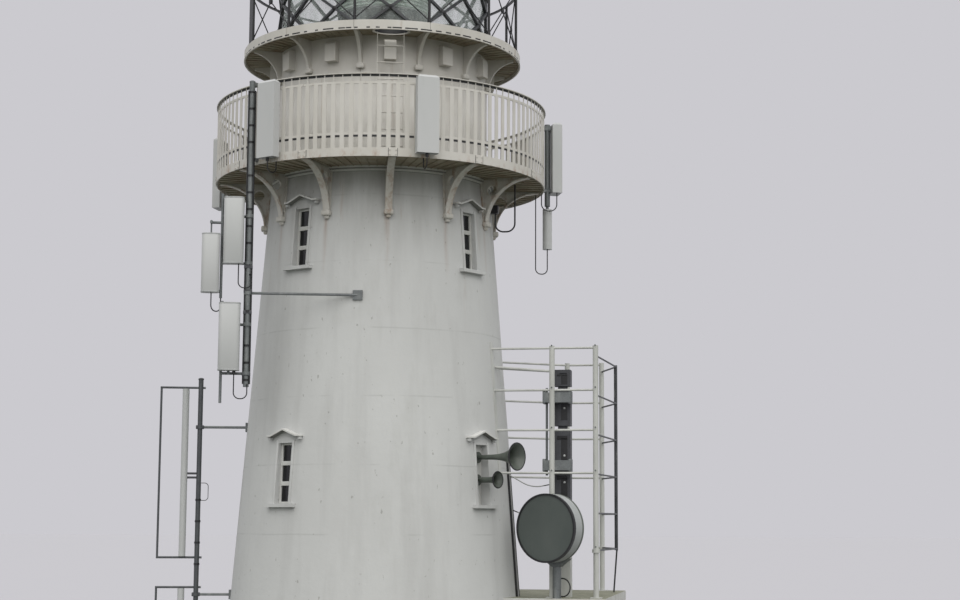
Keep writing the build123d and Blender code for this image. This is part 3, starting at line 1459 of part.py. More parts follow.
with BuildPart() as horn_clamps:
    for height in HORN_CLAMP_HEIGHTS:
        with BuildSketch(annex_front_plane(HORN_CLAMP_OUT, STACK_ALONG, height)):
            Rectangle(HORN_CLAMP_WIDTH, HORN_CLAMP_HEIGHT, align=(Align.MIN, Align.CENTER))
        extrude(amount=STAND_FRONT + STACK_ALONG)
    pipe_out = HORN_CLAMP_OUT + HORN_PIPE_DIAMETER
    pipe_along = STACK_ALONG - (STAND_FRONT + STACK_ALONG) / 3
    add(
        round_bar(
            annex_point(pipe_out, pipe_along, HORN_CLAMP_HEIGHTS[1] - HORN_CLAMP_HEIGHT),
            annex_point(pipe_out, pipe_along, HORN_CLAMP_HEIGHTS[0] + HORN_CLAMP_HEIGHT),
            HORN_PIPE_DIAMETER,
        )
    )
    add(fog_stand_posts.part, mode=Mode.SUBTRACT)
    add(fog_stand_rails.part, mode=Mode.SUBTRACT)
    add(horn_stack.part, mode=Mode.SUBTRACT)

# Trumpets on the blanked window
panel_face = frame_radius(LOWER_WINDOW_HEIGHT)


def trumpet(height, length, mouth):
    """Flared horn that points outwards from the blanked window."""
    with BuildPart() as horn:
        with BuildSketch(radial_plane(BLANKED_AZIMUTH)):
            with BuildLine():
                flare = Spline(
                    (panel_face + DRIVER_THICKNESS, height + TRUMPET_THROAT),
                    (panel_face + length * 0.5, height + TRUMPET_THROAT * 1.5),
                    (panel_face + length * 0.8, height + mouth * 0.45),
                    (panel_face + length, height + mouth),
                )
                Line(flare @ 1, (panel_face + length, height + mouth - TRUMPET_WALL * 2))
                inside = Spline(
                    (panel_face + length, height + mouth - TRUMPET_WALL * 2),
                    (panel_face + length * 0.8, height + mouth * 0.45 - TRUMPET_WALL * 1.5),
                    (panel_face + length * 0.5, height + TRUMPET_THROAT * 1.5 - TRUMPET_WALL),
                    (panel_face + DRIVER_THICKNESS, height + TRUMPET_THROAT - TRUMPET_WALL),
                )
                Polyline(
                    inside @ 1,
                    (panel_face + DRIVER_THICKNESS, height),
                    (panel_face, height),
                    (panel_face, height + DRIVER_RADIUS),
                    (panel_face + DRIVER_THICKNESS, height + DRIVER_RADIUS),
                    flare @ 0,
                )
            make_face()
        axis_start = plan_point(BLANKED_AZIMUTH, 0, height)
        turn = radians(BLANKED_AZIMUTH)
        revolve(axis=Axis(axis_start, (sin(turn), -cos(turn), 0)))
    return horn.part


with BuildPart() as trumpets:
    add(trumpet(TRUMPET_HEIGHT, TRUMPET_LENGTH, TRUMPET_MOUTH))
    add(trumpet(SMALL_TRUMPET_HEIGHT, SMALL_TRUMPET_LENGTH, SMALL_TRUMPET_MOUTH))

# Drum aerial: a shroud round a dish, closed by a flat cover, on a short post
drum_back = annex_point(DRUM_BACK_OUT, DRUM_BACK_ALONG, DRUM_HEIGHT)
drum_turn = radians(DRUM_AZIMUTH)
drum_plane = Plane(
    origin=drum_back,
    x_dir=(cos(drum_turn), sin(drum_turn), 0),
    z_dir=(sin(drum_turn), -cos(drum_turn), 0),
)
drum_side = Plane(origin=drum_back, x_dir=drum_plane.z_dir, z_dir=drum_plane.x_dir)
with BuildPart() as drum_aerial:
    with BuildSketch(drum_side):
        with BuildLine():
            Polyline(
                (DISH_DEPTH - DRUM_WALL, DRUM_RADIUS),
                (DRUM_DEPTH, DRUM_RADIUS),
                (DRUM_DEPTH, DRUM_RADIUS - DRUM_WALL),
                (DRUM_DEPTH - DRUM_WALL, DRUM_RADIUS - DRUM_WALL),
                (DRUM_DEPTH - DRUM_WALL, 0),
                (DRUM_DEPTH - 2 * DRUM_WALL, 0),
                (DRUM_DEPTH - 2 * DRUM_WALL, DRUM_RADIUS - DRUM_WALL),
                (DISH_DEPTH, DRUM_RADIUS - DRUM_WALL),
                (DRUM_WALL, DRUM_HUB),
                (DRUM_WALL, 0),
                (-DRUM_HUB, 0),
                (-DRUM_HUB, DRUM_HUB),
                (0, DRUM_HUB),
                close=True,
            )
        make_face()
    revolve(axis=Axis(drum_back, drum_plane.z_dir))
    drum_middle = Vector(*drum_back) + drum_plane.z_dir * (DRUM_DEPTH / 2)
    add(
        upright_pipe(
            (drum_middle.X, drum_middle.Y),
            DRUM_HEIGHT - DRUM_RADIUS - DRUM_WALL,
            DRUM_HEIGHT - DRUM_RADIUS / 2,
            DRUM_DRAIN,
        ),
        mode=Mode.SUBTRACT,
    )

cradle_low = -DRUM_RADIUS - CRADLE_DEPTH
post_centre = Vector(*drum_back) + drum_plane.z_dir * (CRADLE_THICKNESS / 2)
with BuildPart() as drum_aerial_post:
    with BuildSketch(drum_plane):
        with BuildLine():
            Polyline(
                (-DRUM_POST_DIAMETER / 2, cradle_low),
                (DRUM_POST_DIAMETER / 2, cradle_low),
                (CRADLE_REACH, cradle_low + 2.4 * CRADLE_DEPTH),
                (-CRADLE_REACH, cradle_low + 2.4 * CRADLE_DEPTH),
                close=True,
            )
        make_face()
        Circle(DRUM_RADIUS, mode=Mode.SUBTRACT)
    extrude(amount=CRADLE_THICKNESS)
    add(drum_aerial.part, mode=Mode.SUBTRACT)
    add(
        upright_pipe(
            (post_centre.X, post_centre.Y), ANNEX_SLAB_TOP, DRUM_HEIGHT + cradle_low, DRUM_POST_DIAMETER
        )
    )

# Cords: jumpers under the aerials, the bundle by the right bracket, feeders down the wall
coil_back = DRUM_POST_DIAMETER / 2 + COIL_DIAMETER / 2
coil_centre = post_centre - drum_plane.z_dir * coil_back + drum_plane.x_dir * COIL_SHIFT
coil_height = ANNEX_SLAB_TOP + POST_PLATE_THICKNESS + COIL_RADIUS + COIL_DIAMETER / 2
gland_low = GLAND_HEIGHT - GLAND_SIZE / 2
stack_tap = annex_point(STACK_OUT - STACK_WIDTH / 2, STACK_ALONG + STACK_DEPTH / 2, STACK_TAP_HEIGHT)
drum_tap = tuple(Vector(*drum_back) - drum_plane.z_dir * DRUM_HUB)


def hanging_loop(azimuth, outer, high, low, inner, end):
    """Cord that hangs from one end, turns inwards and rises to its other end."""
    return lead(
        [
            plan_point(azimuth, outer, high),
            plan_point(azimuth, outer, low),
            plan_point(azimuth, inner, low),
            plan_point(azimuth, inner, end),
        ],
        CORD_DIAMETER,
    )


with BuildPart() as cables:
    panel_middle = panel_inner + PANEL_DEPTH / 2
    for azimuth in PANEL_AZIMUTHS:
        high = PANEL_BASE
        add(hanging_loop(azimuth, panel_middle, high, high - CORD_DROP, panel_middle - CORD_SPREAD, deck_low))
        add(
            round_bar(
                plan_point(azimuth, panel_middle, high - CONNECTOR_HEIGHT),
                plan_point(azimuth, panel_middle, high),
                CONNECTOR_DIAMETER,
            )
        )
    tube_low = RIGHT_PIPE_BASE - CONNECTOR_HEIGHT - TUBE_AERIAL_HEIGHT
    add(
        hanging_loop(
            RIGHT_PANEL_AZIMUTH,
            right_pipe_radius,
            tube_low,
            tube_low - 2 * CORD_DROP,
            right_pipe_radius - CORD_SPREAD,
            deck_low,
        )
    )
    right_middle = right_panel_inner + RIGHT_PANEL_DEPTH / 2
    add(
        lead(
            [
                plan_point(RIGHT_PANEL_AZIMUTH - 2.5, right_middle, PANEL_BASE),
                plan_point(RIGHT_PANEL_AZIMUTH - 2.5, right_middle, PANEL_BASE - 1.5 * CORD_DROP),
                plan_point(RIGHT_PANEL_AZIMUTH - 2.5, slat_radius, PANEL_BASE - 1.5 * CORD_DROP),
                plan_point(RIGHT_PANEL_AZIMUTH - 2.5, slat_radius, LOWER_DECK_TOP - FASCIA_HEIGHT),
            ],
            CORD_DIAMETER,
        )
    )
    # Jumpers of the rounded aerials
    for across, base in ((UPPER_AERIAL_ACROSS, UPPER_AERIAL_BASE), (LOWER_AERIAL_ACROSS, LOWER_AERIAL_BASE)):
        start = across + JUMPER_ASIDE
        low = base - 2 * CORD_DROP
        clip = low + CORD_DROP
        add(
            lead(
                [
                    mast_point(start, JUMPER_FORWARD, base),
                    mast_point(start, JUMPER_FORWARD, low),
                    mast_point(start + CORD_SPREAD, JUMPER_FORWARD, low),
                    mast_point(start + CORD_SPREAD, JUMPER_FORWARD, clip),
                ],
                CORD_DIAMETER,
            )
        )
        add(
            round_bar(
                mast_point(start, JUMPER_FORWARD, base - CONNECTOR_HEIGHT),
                mast_point(start, JUMPER_FORWARD, base),
                CONNECTOR_DIAMETER,
            )
        )
        clip_end = mast_point(start + CORD_SPREAD, JUMPER_FORWARD, clip)
        add(round_bar(mast_point(0, 0, clip), clip_end, CONNECTOR_DIAMETER / 2))
    outer_start = OUTER_AERIAL_ACROSS + ARM_DIAMETER / 2
    outer_turn = UPPER_PIPE_BASE - CORD_DROP
    add(
        lead(
            [
                mast_point(outer_start, JUMPER_FORWARD, OUTER_AERIAL_BASE),
                mast_point(outer_start, JUMPER_FORWARD, outer_turn),
                mast_point(UPPER_PIPE_ACROSS, back_forward, outer_turn),
                mast_point(UPPER_PIPE_ACROSS, back_forward, UPPER_PIPE_BASE),
            ],
            CORD_DIAMETER,
        )
    )
    # Loop beside the low mast
    loop_start = LOW_MAST_DIAMETER / 2 - LOOP_CORD_DIAMETER
    add(
        lead(
            [
                low_mast_point(loop_start, LOOP_TOP),
                low_mast_point(loop_start + LOOP_REACH, LOOP_TOP),
                low_mast_point(loop_start + LOOP_REACH, LOOP_TOP - LOOP_HEIGHT),
                low_mast_point(loop_start, LOOP_TOP - LOOP_HEIGHT),
            ],
            LOOP_CORD_DIAMETER,
        )
    )
    # Bundle that hangs beside the right bracket and rises into its gland box
    add(
        lead(
            [
                plan_point(BUNDLE_AZIMUTH, BUNDLE_RADIUS, deck_low),
                plan_point(BUNDLE_AZIMUTH, BUNDLE_RADIUS, BUNDLE_LOW),
                plan_point(BUNDLE_AZIMUTH, BUNDLE_RADIUS - BUNDLE_SPREAD, BUNDLE_LOW),
                plan_point(BUNDLE_AZIMUTH, BUNDLE_RADIUS - BUNDLE_SPREAD, gland_low),
            ],
            BUNDLE_DIAMETER,
        )
    )
    add(wall_block(BUNDLE_AZIMUTH, GLAND_SIZE, GLAND_HEIGHT, GLAND_SIZE, GLAND_SIZE))
    # Feeders down the wall to the annex roof, one of them led to the stack and one to the drum
    add(
        ring_segments(
            CABLE_AZIMUTHS,
            degrees(CABLE_SIZE / tower_radius(CABLE_TOP)),
            [
                (tower_radius(ANNEX_SLAB_TOP), ANNEX_SLAB_TOP),
                (tower_radius(ANNEX_SLAB_TOP) + CABLE_SIZE, ANNEX_SLAB_TOP),
                (tower_radius(CABLE_TOP) + CABLE_SIZE, CABLE_TOP),
                (tower_radius(CABLE_TOP), CABLE_TOP),
            ],
        )
    )
    stack_lead_top = STACK_TAP_HEIGHT + CABLE_SAG
    stack_start = plan_point(CABLE_AZIMUTHS[1], tower_radius(stack_lead_top) + CABLE_SIZE / 2, stack_lead_top)
    stack_middle = (Vector(*stack_start) + Vector(*stack_tap)) * 0.5 - Vector(0, 0, CABLE_SAG)
    add(lead([stack_start, tuple(stack_middle), stack_tap], CORD_DIAMETER))
    drum_lead_top = DRUM_HEIGHT + 2 * CABLE_SAG
    drum_start = plan_point(CABLE_AZIMUTHS[2], tower_radius(drum_lead_top) + CABLE_SIZE / 2, drum_lead_top)
    drum_middle_point = annex_point(DRUM_LEAD_OUT, DRUM_LEAD_ALONG, DRUM_HEIGHT)
    add(lead([drum_start, drum_middle_point, drum_tap], CORD_DIAMETER))
    with Locations(Plane(origin=(coil_centre.X, coil_centre.Y, coil_height), z_dir=drum_plane.z_dir)):
        Torus(COIL_RADIUS, COIL_DIAMETER / 2)
    add(aerial_masts.part, mode=Mode.SUBTRACT)
    add(aerial_mast_arms.part, mode=Mode.SUBTRACT)
    add(drum_aerial.part, mode=Mode.SUBTRACT)
    add(drum_aerial_post.part, mode=Mode.SUBTRACT)
    add(horn_stack.part, mode=Mode.SUBTRACT)
    add(fog_stand_posts.part, mode=Mode.SUBTRACT)

pieces = {
    "tower_lower_straight_bays": tower_lower_straight_bays,
    "tower_lower_diagonal_bays": tower_lower_diagonal_bays,
    "tower_upper_straight_bays": tower_upper_straight_bays,
    "tower_upper_window_bays": tower_upper_window_bays,
    "tower_floors": tower_floors,
    "window_frames": window_frames,
    "window_panes": window_panes,
    "blanked_window_panel": blanked_window_panel,
    "window_sills": window_sills,
    "window_hoods": window_hoods,
    "annex_roof_slab": annex_roof_slab,
    "annex_side_walls": annex_side_walls,
    "annex_end_wall": annex_end_wall,
    "doors": doors,
    "lower_gallery_deck": lower_gallery_deck,
    "lower_gallery_fascia": lower_gallery_fascia,
    "lower_gallery_brackets": lower_gallery_brackets,
    "lower_gallery_balustrade": lower_gallery_balustrade,
    "watchroom_wall_plates": watchroom_wall_plates,
    "ventilator_boxes": ventilator_boxes,
    "manhole_ladder": manhole_ladder,
    "upper_gallery_deck": upper_gallery_deck,
    "manhole_plate": manhole_plate,
    "upper_gallery_kerb": upper_gallery_kerb,
    "upper_gallery_brackets": upper_gallery_brackets,
    "upper_gallery_stanchions": upper_gallery_stanchions,
    "upper_gallery_rods": upper_gallery_rods,
    "upper_gallery_top_rail": upper_gallery_top_rail,
    "lantern_sill": lantern_sill,
    "lantern_astragals": lantern_astragals,
    "lantern_glass": lantern_glass,
    "lantern_cornice": lantern_cornice,
    "roof_gores": roof_gores,
    "ventilator_ball": ventilator_ball,
    "lightning_rod": lightning_rod,
    "lens_pedestal": lens_pedestal,
    "lens": lens,
    "annex_corbels": annex_corbels,
    "aerial_masts": aerial_masts,
    "aerial_mast_arms": aerial_mast_arms,
    "rounded_aerials": rounded_aerials,
    "rod_aerials": rod_aerials,
    "panel_aerials": panel_aerials,
    "panel_aerial_mounts": panel_aerial_mounts,
    "gallery_mesh_panel": gallery_mesh_panel,
    "fog_stand_posts": fog_stand_posts,
    "fog_stand_rails": fog_stand_rails,
    "fog_stand_guard": fog_stand_guard,
    "horn_stack": horn_stack,
    "horn_clamps": horn_clamps,
    "trumpets": trumpets,
    "drum_aerial": drum_aerial,
    "drum_aerial_post": drum_aerial_post,
    "cables": cables,
}
for label, piece in pieces.items():
    piece.part.label = label
    export_step(piece.part, f"parts/{label}.step")
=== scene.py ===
import math
import random

import bpy
from mathutils import Matrix, Vector


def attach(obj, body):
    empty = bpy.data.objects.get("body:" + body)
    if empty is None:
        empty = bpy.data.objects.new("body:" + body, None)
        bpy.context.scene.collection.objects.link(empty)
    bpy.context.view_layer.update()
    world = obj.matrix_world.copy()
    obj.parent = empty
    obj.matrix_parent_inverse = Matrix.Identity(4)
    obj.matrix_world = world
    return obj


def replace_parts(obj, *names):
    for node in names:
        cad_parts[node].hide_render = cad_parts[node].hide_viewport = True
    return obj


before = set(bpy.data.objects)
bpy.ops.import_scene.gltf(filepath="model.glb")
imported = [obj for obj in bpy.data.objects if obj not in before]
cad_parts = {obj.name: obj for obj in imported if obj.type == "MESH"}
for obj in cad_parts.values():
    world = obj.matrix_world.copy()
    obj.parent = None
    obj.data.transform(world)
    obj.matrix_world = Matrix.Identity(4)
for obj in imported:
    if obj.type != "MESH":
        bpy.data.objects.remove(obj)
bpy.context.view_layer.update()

bl_info = {
    "name": "Lighthouse with galleries and aerials",
    "version": (1, 0, 0),
    "blender": (4, 5, 0),
    "location": "View3D > Sidebar > Lighthouse",
    "description": "Dresses the lighthouse with its ironwork detail, finishes, light and camera",
    "category": "Object",
}

# Sizes of the building, as its solids have them, in metres and in degrees from the front
SECTORS = 12
SECTOR = 360 / SECTORS
GALLERY_RADIUS = 3.1
DECK_TOP = 11.4
SOFFIT = 11.29
FASCIA_MIDDLE = 11.325
BALUSTRADE_FOOT = 11.588
RAIL_FOOT = 12.699
UPPER_DECK_TOP = 13.8
UPPER_SOFFIT = 13.7
UPPER_RADIUS = 2.63
STANCHION_RADIUS = 2.57
MANHOLE_OUT = 2.31
LANTERN_LOW = 13.86
LANTERN_RADIUS = 2.018
BAR_RISE = 0.386
WINDOW_HEIGHTS = (5.83, 10.05)
WINDOW_AZIMUTHS = (45, 135, 225, 315)
BLANKED_WINDOW = (45, WINDOW_HEIGHTS[0])
WINDOW_SIZE = (0.325, 0.05, 1.06)
WINDOW_BORDER = 0.036
TRANSOM = 0.075
WINDOW_REVEAL = 0.085
WINDOW_LEAN = 2.6
WALL_LEAN = 4.46
HOOD_FOOT = 0.635
HOOD_RISE = 0.115
BRACKET_TIP = 3.02
BRACKET_REACH = 0.84
BRACKET_DROP = 0.82
BRACKET_FOOT = 10.44
BRACKET_EYE = 2.29
ANNEX_AZIMUTH = 73.0
DRUM_AZIMUTH = -41.8
TRUMPETS = ((6.14, 0.92, 0.245), (5.74, 0.5, 0.15))  # height, length, radius of the mouth
STAND_RAILS = (8.13, 7.37, 6.65, 5.88, 4.53)
STACK_PITCH = 0.72
AERIALS = (
    # across from the mast, foot, top, width
    (-0.265, 9.44, 10.62, 0.355),
    (-0.655, 8.93, 9.97, 0.31),
    (-0.305, 7.575, 8.76, 0.37),
)
ANNEX_DOOR = (4.05, 1.2, 0)  # out, along, height
GALLERY_DOOR_RADIUS = 1.95
LENS_PROFILE = ((14.6, 0.85), (15.1, 0.91), (15.65, 0.91), (16.65, 0.4675))  # height, radius
LENS_RINGS = 30

# The photo's eye, in metres, degrees and millimetres of lens, and its even light
EYE = (-2.04, -32.44, 5.0)
EYE_YAW, EYE_PITCH, EYE_ROLL = 6.93, 7.29, 0.3
EYE_LENS = 65.1
SUN_SIDE = (0.02, -0.85, 1.15)
SUN_SPREAD = 85
SUN_STRENGTH = 2.2
SKY_STRENGTH = 0.8


# Places
def srgb(code):
    """Linear colour of an sRGB hex code."""
    values = [int(code[i:i + 2], 16) / 255 for i in (1, 3, 5)]
    linear = [v / 12.92 if v <= 0.04045 else ((v + 0.055) / 1.055) ** 2.4 for v in values]
    return (*linear, 1.0)


def at(x, y, z):
    """Matrix that moves a piece."""
    return Matrix.Translation((x, y, z))


def turned(angle, axis="Z"):
    """Matrix that turns a piece by degrees about an axis."""
    return Matrix.Rotation(math.radians(angle), 4, axis)


def place(azimuth, radius, height):
    """Point at an azimuth from the front, a radius and a height."""
    turn = math.radians(azimuth)
    return Vector((radius * math.sin(turn), -radius * math.cos(turn), height))


def facing(azimuth, radius, height):
    """Matrix that stands a piece upright at a radius: x to the right, y inwards, z up."""
    return at(*place(azimuth, radius, height)) @ turned(azimuth)


def ring(radius, height, first=0.0, count=SECTORS):
    """Places that stand evenly round the tower."""
    return [facing(first + 360 / count * index, radius, height) for index in range(count)]


def over_annex(out, along, height):
    """Point over the annex, out from the tower's axis and along the end wall."""
    sine, cosine = math.sin(math.radians(ANNEX_AZIMUTH)), math.cos(math.radians(ANNEX_AZIMUTH))
    return Vector((out * sine + along * cosine, along * sine - out * cosine, height))


def tower_radius(height):
    """Outer radius of the battered tower."""
    return 2.94 - 0.078 * height


def on_stand(out, along, heights):
    """Places on the fog signal stand, turned as the annex is."""
    return [at(*over_annex(out, along, height)) @ turned(ANNEX_AZIMUTH - 90) for height in heights]


def on_mast(mast, heights):
    """Places on a mast."""
    return [at(mast.x, mast.y, height) for height in heights]


MAST = place(-48.6, 3.25, 0)
LOW_MAST = place(-93.6, 3.3, 0)
DRUM_BACK = over_annex(3.489, -0.716, 4.9)


# Making pieces
def mode(name):
    """Goes to edit mode or back."""
    bpy.ops.object.mode_set(mode=name)


def pick(*pieces):
    """Leaves only these pieces selected, the first of them active."""
    if bpy.context.object and bpy.context.object.mode != "OBJECT":
        mode("OBJECT")
    bpy.ops.object.select_all(action="DESELECT")
    for piece in pieces:
        piece.select_set(True)
    if pieces:
        bpy.context.view_layer.objects.active = pieces[0]


def settle(piece, name):
    """Puts a piece's place into its mesh and names it."""
    pick(piece)
    bpy.ops.object.transform_apply(location=True, rotation=True, scale=True)
    piece.name = piece.data.name = name
    return piece


def join(pieces, name):
    """Makes one piece of several."""
    pick(*pieces)
    if len(pieces) > 1:
        bpy.ops.object.join()
    return settle(pieces[0], name)


def apply_modifier(piece, kind, **values):
    """Adds a modifier and applies it."""
    bpy.context.view_layer.objects.active = piece
    modifier = piece.modifiers.new(kind.title(), kind)
    for key, value in values.items():
        setattr(modifier, key, value)
    bpy.ops.object.modifier_apply(modifier=modifier.name)


def cut(piece, cutter):
    """Cuts a piece by another, which is used up."""
    apply_modifier(piece, "BOOLEAN", object=cutter, operation="DIFFERENCE", solver="EXACT")
    bpy.data.objects.remove(cutter)


def block(size, bevel=0.0, segments=1, centre=(0, 0, 0)):
    """Bevelled block about a centre."""
    pick()
    bpy.ops.mesh.primitive_cube_add(size=1, location=centre)
    piece = bpy.context.object
    mode("EDIT")
    bpy.ops.mesh.select_all(action="SELECT")
    bpy.ops.transform.resize(value=size, center_override=centre)
    if bevel:
        bpy.ops.mesh.bevel(offset=bevel, segments=segments, affect="EDGES")
    mode("OBJECT")
    return settle(piece, "block")


def bolt_head(radius, height, sides=8):
    """Bolt head: a short prism with a bevelled crown, standing out along -y."""
    pick()
    bpy.ops.mesh.primitive_cylinder_add(vertices=sides, radius=radius, depth=height)
    piece = bpy.context.object
    mode("EDIT")
    bpy.ops.mesh.select_all(action="DESELECT")
    mode("OBJECT")
    for face in piece.data.polygons:
        face.select = face.normal.z > 0.9
    mode("EDIT")
    bpy.ops.mesh.inset(thickness=radius * 0.3, depth=height * 0.25)
    mode("OBJECT")
    piece = settle(piece, "bolt_head")
    piece.data.transform(turned(90, "X"))
    return piece


def band(radius, low, high, wall, sides=144):
    """Closed ring of sheet: its outer face is at the radius."""
    pick()
    bpy.ops.mesh.primitive_cylinder_add(
        vertices=sides, radius=radius, depth=high - low, end_fill_type="NOTHING", location=(0, 0, (low + high) / 2))
    piece = settle(bpy.context.object, "band")
    apply_modifier(piece, "SOLIDIFY", thickness=wall, offset=-1)
    return piece


def lathe(outline, sides=48, matrix=Matrix.Identity(4)):
    """Spins a closed outline of (radius, height) points about the upright axis."""
    mesh = bpy.data.meshes.new("outline")
    count = len(outline)
    mesh.from_pydata([(r, 0, h) for r, h in outline], [(i, (i + 1) % count) for i in range(count)], [])
    piece = bpy.data.objects.new("outline", mesh)
    bpy.context.collection.objects.link(piece)
    pick(piece)
    mode("EDIT")
    bpy.ops.mesh.select_all(action="SELECT")
    bpy.ops.mesh.spin(steps=sides, angle=math.tau, center=(0, 0, 0), axis=(0, 0, 1))
    bpy.ops.mesh.select_all(action="SELECT")
    bpy.ops.mesh.remove_doubles(threshold=0.0002)
    bpy.ops.mesh.normals_make_consistent(inside=False)
    mode("OBJECT")
    piece.data.transform(matrix)
    return piece


def flat_ring(inner, outer, low, high, sides=48, matrix=Matrix.Identity(4)):
    """Ring of square section, or a rod where the inner radius is nought."""
    return lathe([(inner, low), (outer, low), (outer, high), (inner, high)], sides, matrix)


def sheet(first, second, wall, offset=0):
    """Sheet between two lines of points (across, in, up), given a thickness."""
    pick()
    count = len(first) - 1
    bpy.ops.mesh.primitive_grid_add(x_subdivisions=count, y_subdivisions=1, size=1)
    piece = bpy.context.object
    for vertex in piece.data.vertices:
        line = first if vertex.co.y < 0 else second
        vertex.co = Vector(line[round((vertex.co.x + 0.5) * count)])
    piece = settle(piece, "sheet")
    apply_modifier(piece, "SOLIDIFY", thickness=wall, offset=offset)
    apply_modifier(piece, "BEVEL", width=0.004, segments=2, limit_method="ANGLE")
    return piece


def rounded_edges(piece, radius):
    """Rounds the upright edges broadly and the others finely."""
    pick(piece)
    mode("EDIT")
    bpy.ops.mesh.select_mode(type="EDGE")
    bpy.ops.mesh.select_all(action="DESELECT")
    mode("OBJECT")
    for edge in piece.data.edges:
        low, high = (piece.data.vertices[index].co for index in edge.vertices)
        edge.select = abs(low.z - high.z) > 0.001
    mode("EDIT")
    bpy.ops.mesh.bevel(offset=radius, segments=6, affect="EDGES")
    bpy.ops.mesh.select_mode(type="VERT")
    mode("OBJECT")
    apply_modifier(piece, "BEVEL", width=0.006, segments=2, limit_method="ANGLE", angle_limit=math.radians(50))
    return piece


def copies(piece, matrices):
    """Copies a modelled piece to each place, every copy with its own mesh."""
    made = []
    for matrix in matrices:
        twin = piece.copy()
        twin.data = piece.data.copy()
        twin.data.transform(matrix)
        bpy.context.collection.objects.link(twin)
        made.append(twin)
    bpy.data.objects.remove(piece)
    return made


def fit(piece, name, tint, places=None, slot=None, angle=35):
    """Copies a piece to its places, smooths it below an angle, dresses it and hangs it on the building."""
    pieces = piece if isinstance(piece, list) else copies(piece, places) if places else [piece]
    fitted = join(pieces, name)
    if angle:
        bpy.ops.object.shade_smooth_by_angle(angle=math.radians(angle))
    fitted.data.materials.clear()
    fitted.data.materials.append(finish(tint))
    slot or FINISH_SLOTS[tint]
    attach(fitted, "root")
    return fitted


# Finishes
def node(tree, kind, links=(), output=0, **settings):
    """Adds a node with its settings, its sockets' values and its links, and gives back its output."""
    made = tree.nodes.new("ShaderNode" + kind)
    for key, value in settings.items():
        if key.startswith("in_"):
            made.inputs[int(key[3:]) if key[3:].isdigit() else key[3:]].default_value = value
        else:
            setattr(made, key, value)
    for socket, source in dict(links).items():
        tree.links.new(source, made.inputs[socket])
    return made.outputs[output]


FINISHES = {}


class Finish:
    """A material in the making: one shader, and coats of colour that read the piece's own coordinates.

    A grain is (patches in a metre, detail, roughness, upright stretch, low, high): 45 in a metre are patches of
    22 mm, a stretch under 1 draws them out into runs, and what lies under the low level is left bare.
    """

    def __init__(self, key, name, colour, roughness, metallic=0.0):
        material = bpy.data.materials.new(name)
        material.use_nodes = True
        self.tree = material.node_tree
        self.shader = self.tree.nodes["Principled BSDF"]
        self.shader.inputs["Roughness"].default_value = roughness
        self.shader.inputs["Metallic"].default_value = metallic
        self.place = self.add("TexCoord", output="Object")
        self.colour = self.add("RGB")
        self.colour.default_value = srgb(colour) if isinstance(colour, str) else colour
        FINISHES[key] = material

    def add(self, kind, links=(), output=0, **settings):
        """Adds a node to this material."""
        return node(self.tree, kind, links, output, **settings)

    def grain(self, scale, detail, rough, tall=1.0, low=0.35, high=0.65, wide=1.0):
        """Noise on the piece, stretched and cut between two levels."""
        where = self.add("Mapping", {"Vector": self.place}, in_Scale=(wide, wide, tall))
        noise = self.add("TexNoise", {0: where}, in_Scale=scale, in_Detail=detail, in_Roughness=rough)
        return self.add("MapRange", {0: noise}, in_1=low, in_2=high)

    def axes(self, source=None):
        """The three coordinates of a point."""
        return self.add("SeparateXYZ", {0: source or self.place}).node.outputs

    def azimuth(self):
        """Angle round the tower from its front."""
        x, y, _ = self.axes()
        back = self.add("Math", {0: y}, operation="MULTIPLY", in_1=-1.0)
        return self.add("Math", {0: x, 1: back}, operation="ARCTAN2")

    def height(self, low, high):
        """Mask that grows between two heights."""
        return self.add("MapRange", {0: self.axes()[2]}, in_1=low, in_2=high)

    def looks_up(self, low=0.6, high=0.9, sign=1.0):
        """Mask of the faces that look up, or with a sign of -1 down."""
        upward = self.axes(self.add("NewGeometry", output="Normal"))[2]
        upward = self.add("Math", {0: upward}, operation="MULTIPLY", in_1=sign)
        return self.add("MapRange", {0: upward}, in_1=low, in_2=high)

    def coat(self, colour, amount, *masks):
        """Lays a colour over what is there, where all the masks are. A mask may be a grain's numbers."""
        total = None
        for mask in masks:
            mask = self.grain(*mask) if isinstance(mask, tuple) else mask
            total = mask if total is None else self.add("Math", {0: total, 1: mask}, operation="MULTIPLY")
        total = self.add("Math", {0: total}, operation="MULTIPLY", in_1=amount)
        self.colour = self.add(
            "Mix", {0: total, 6: self.colour}, 2, data_type="RGBA", in_7=srgb(colour))
        self.tree.links.new(self.colour, self.shader.inputs["Base Color"])
        return self

    def vary(self, socket, grain, low, high):
        """Varies one of the shader's numbers between two values."""
        amount = self.add("MapRange", {0: self.grain(*grain)}, in_3=low, in_4=high)
        self.tree.links.new(amount, self.shader.inputs[socket])
        return self

    def relief(self, grain, depth, strength=0.5):
        """Relief of a real depth in metres, over any that is there."""
        normal = self.shader.inputs["Normal"]
        links = {"Height": self.grain(*grain)}
        if normal.is_linked:
            links["Normal"] = normal.links[0].from_socket
        self.tree.links.new(self.add("Bump", links, in_Strength=strength, in_Distance=depth), normal)
        return self


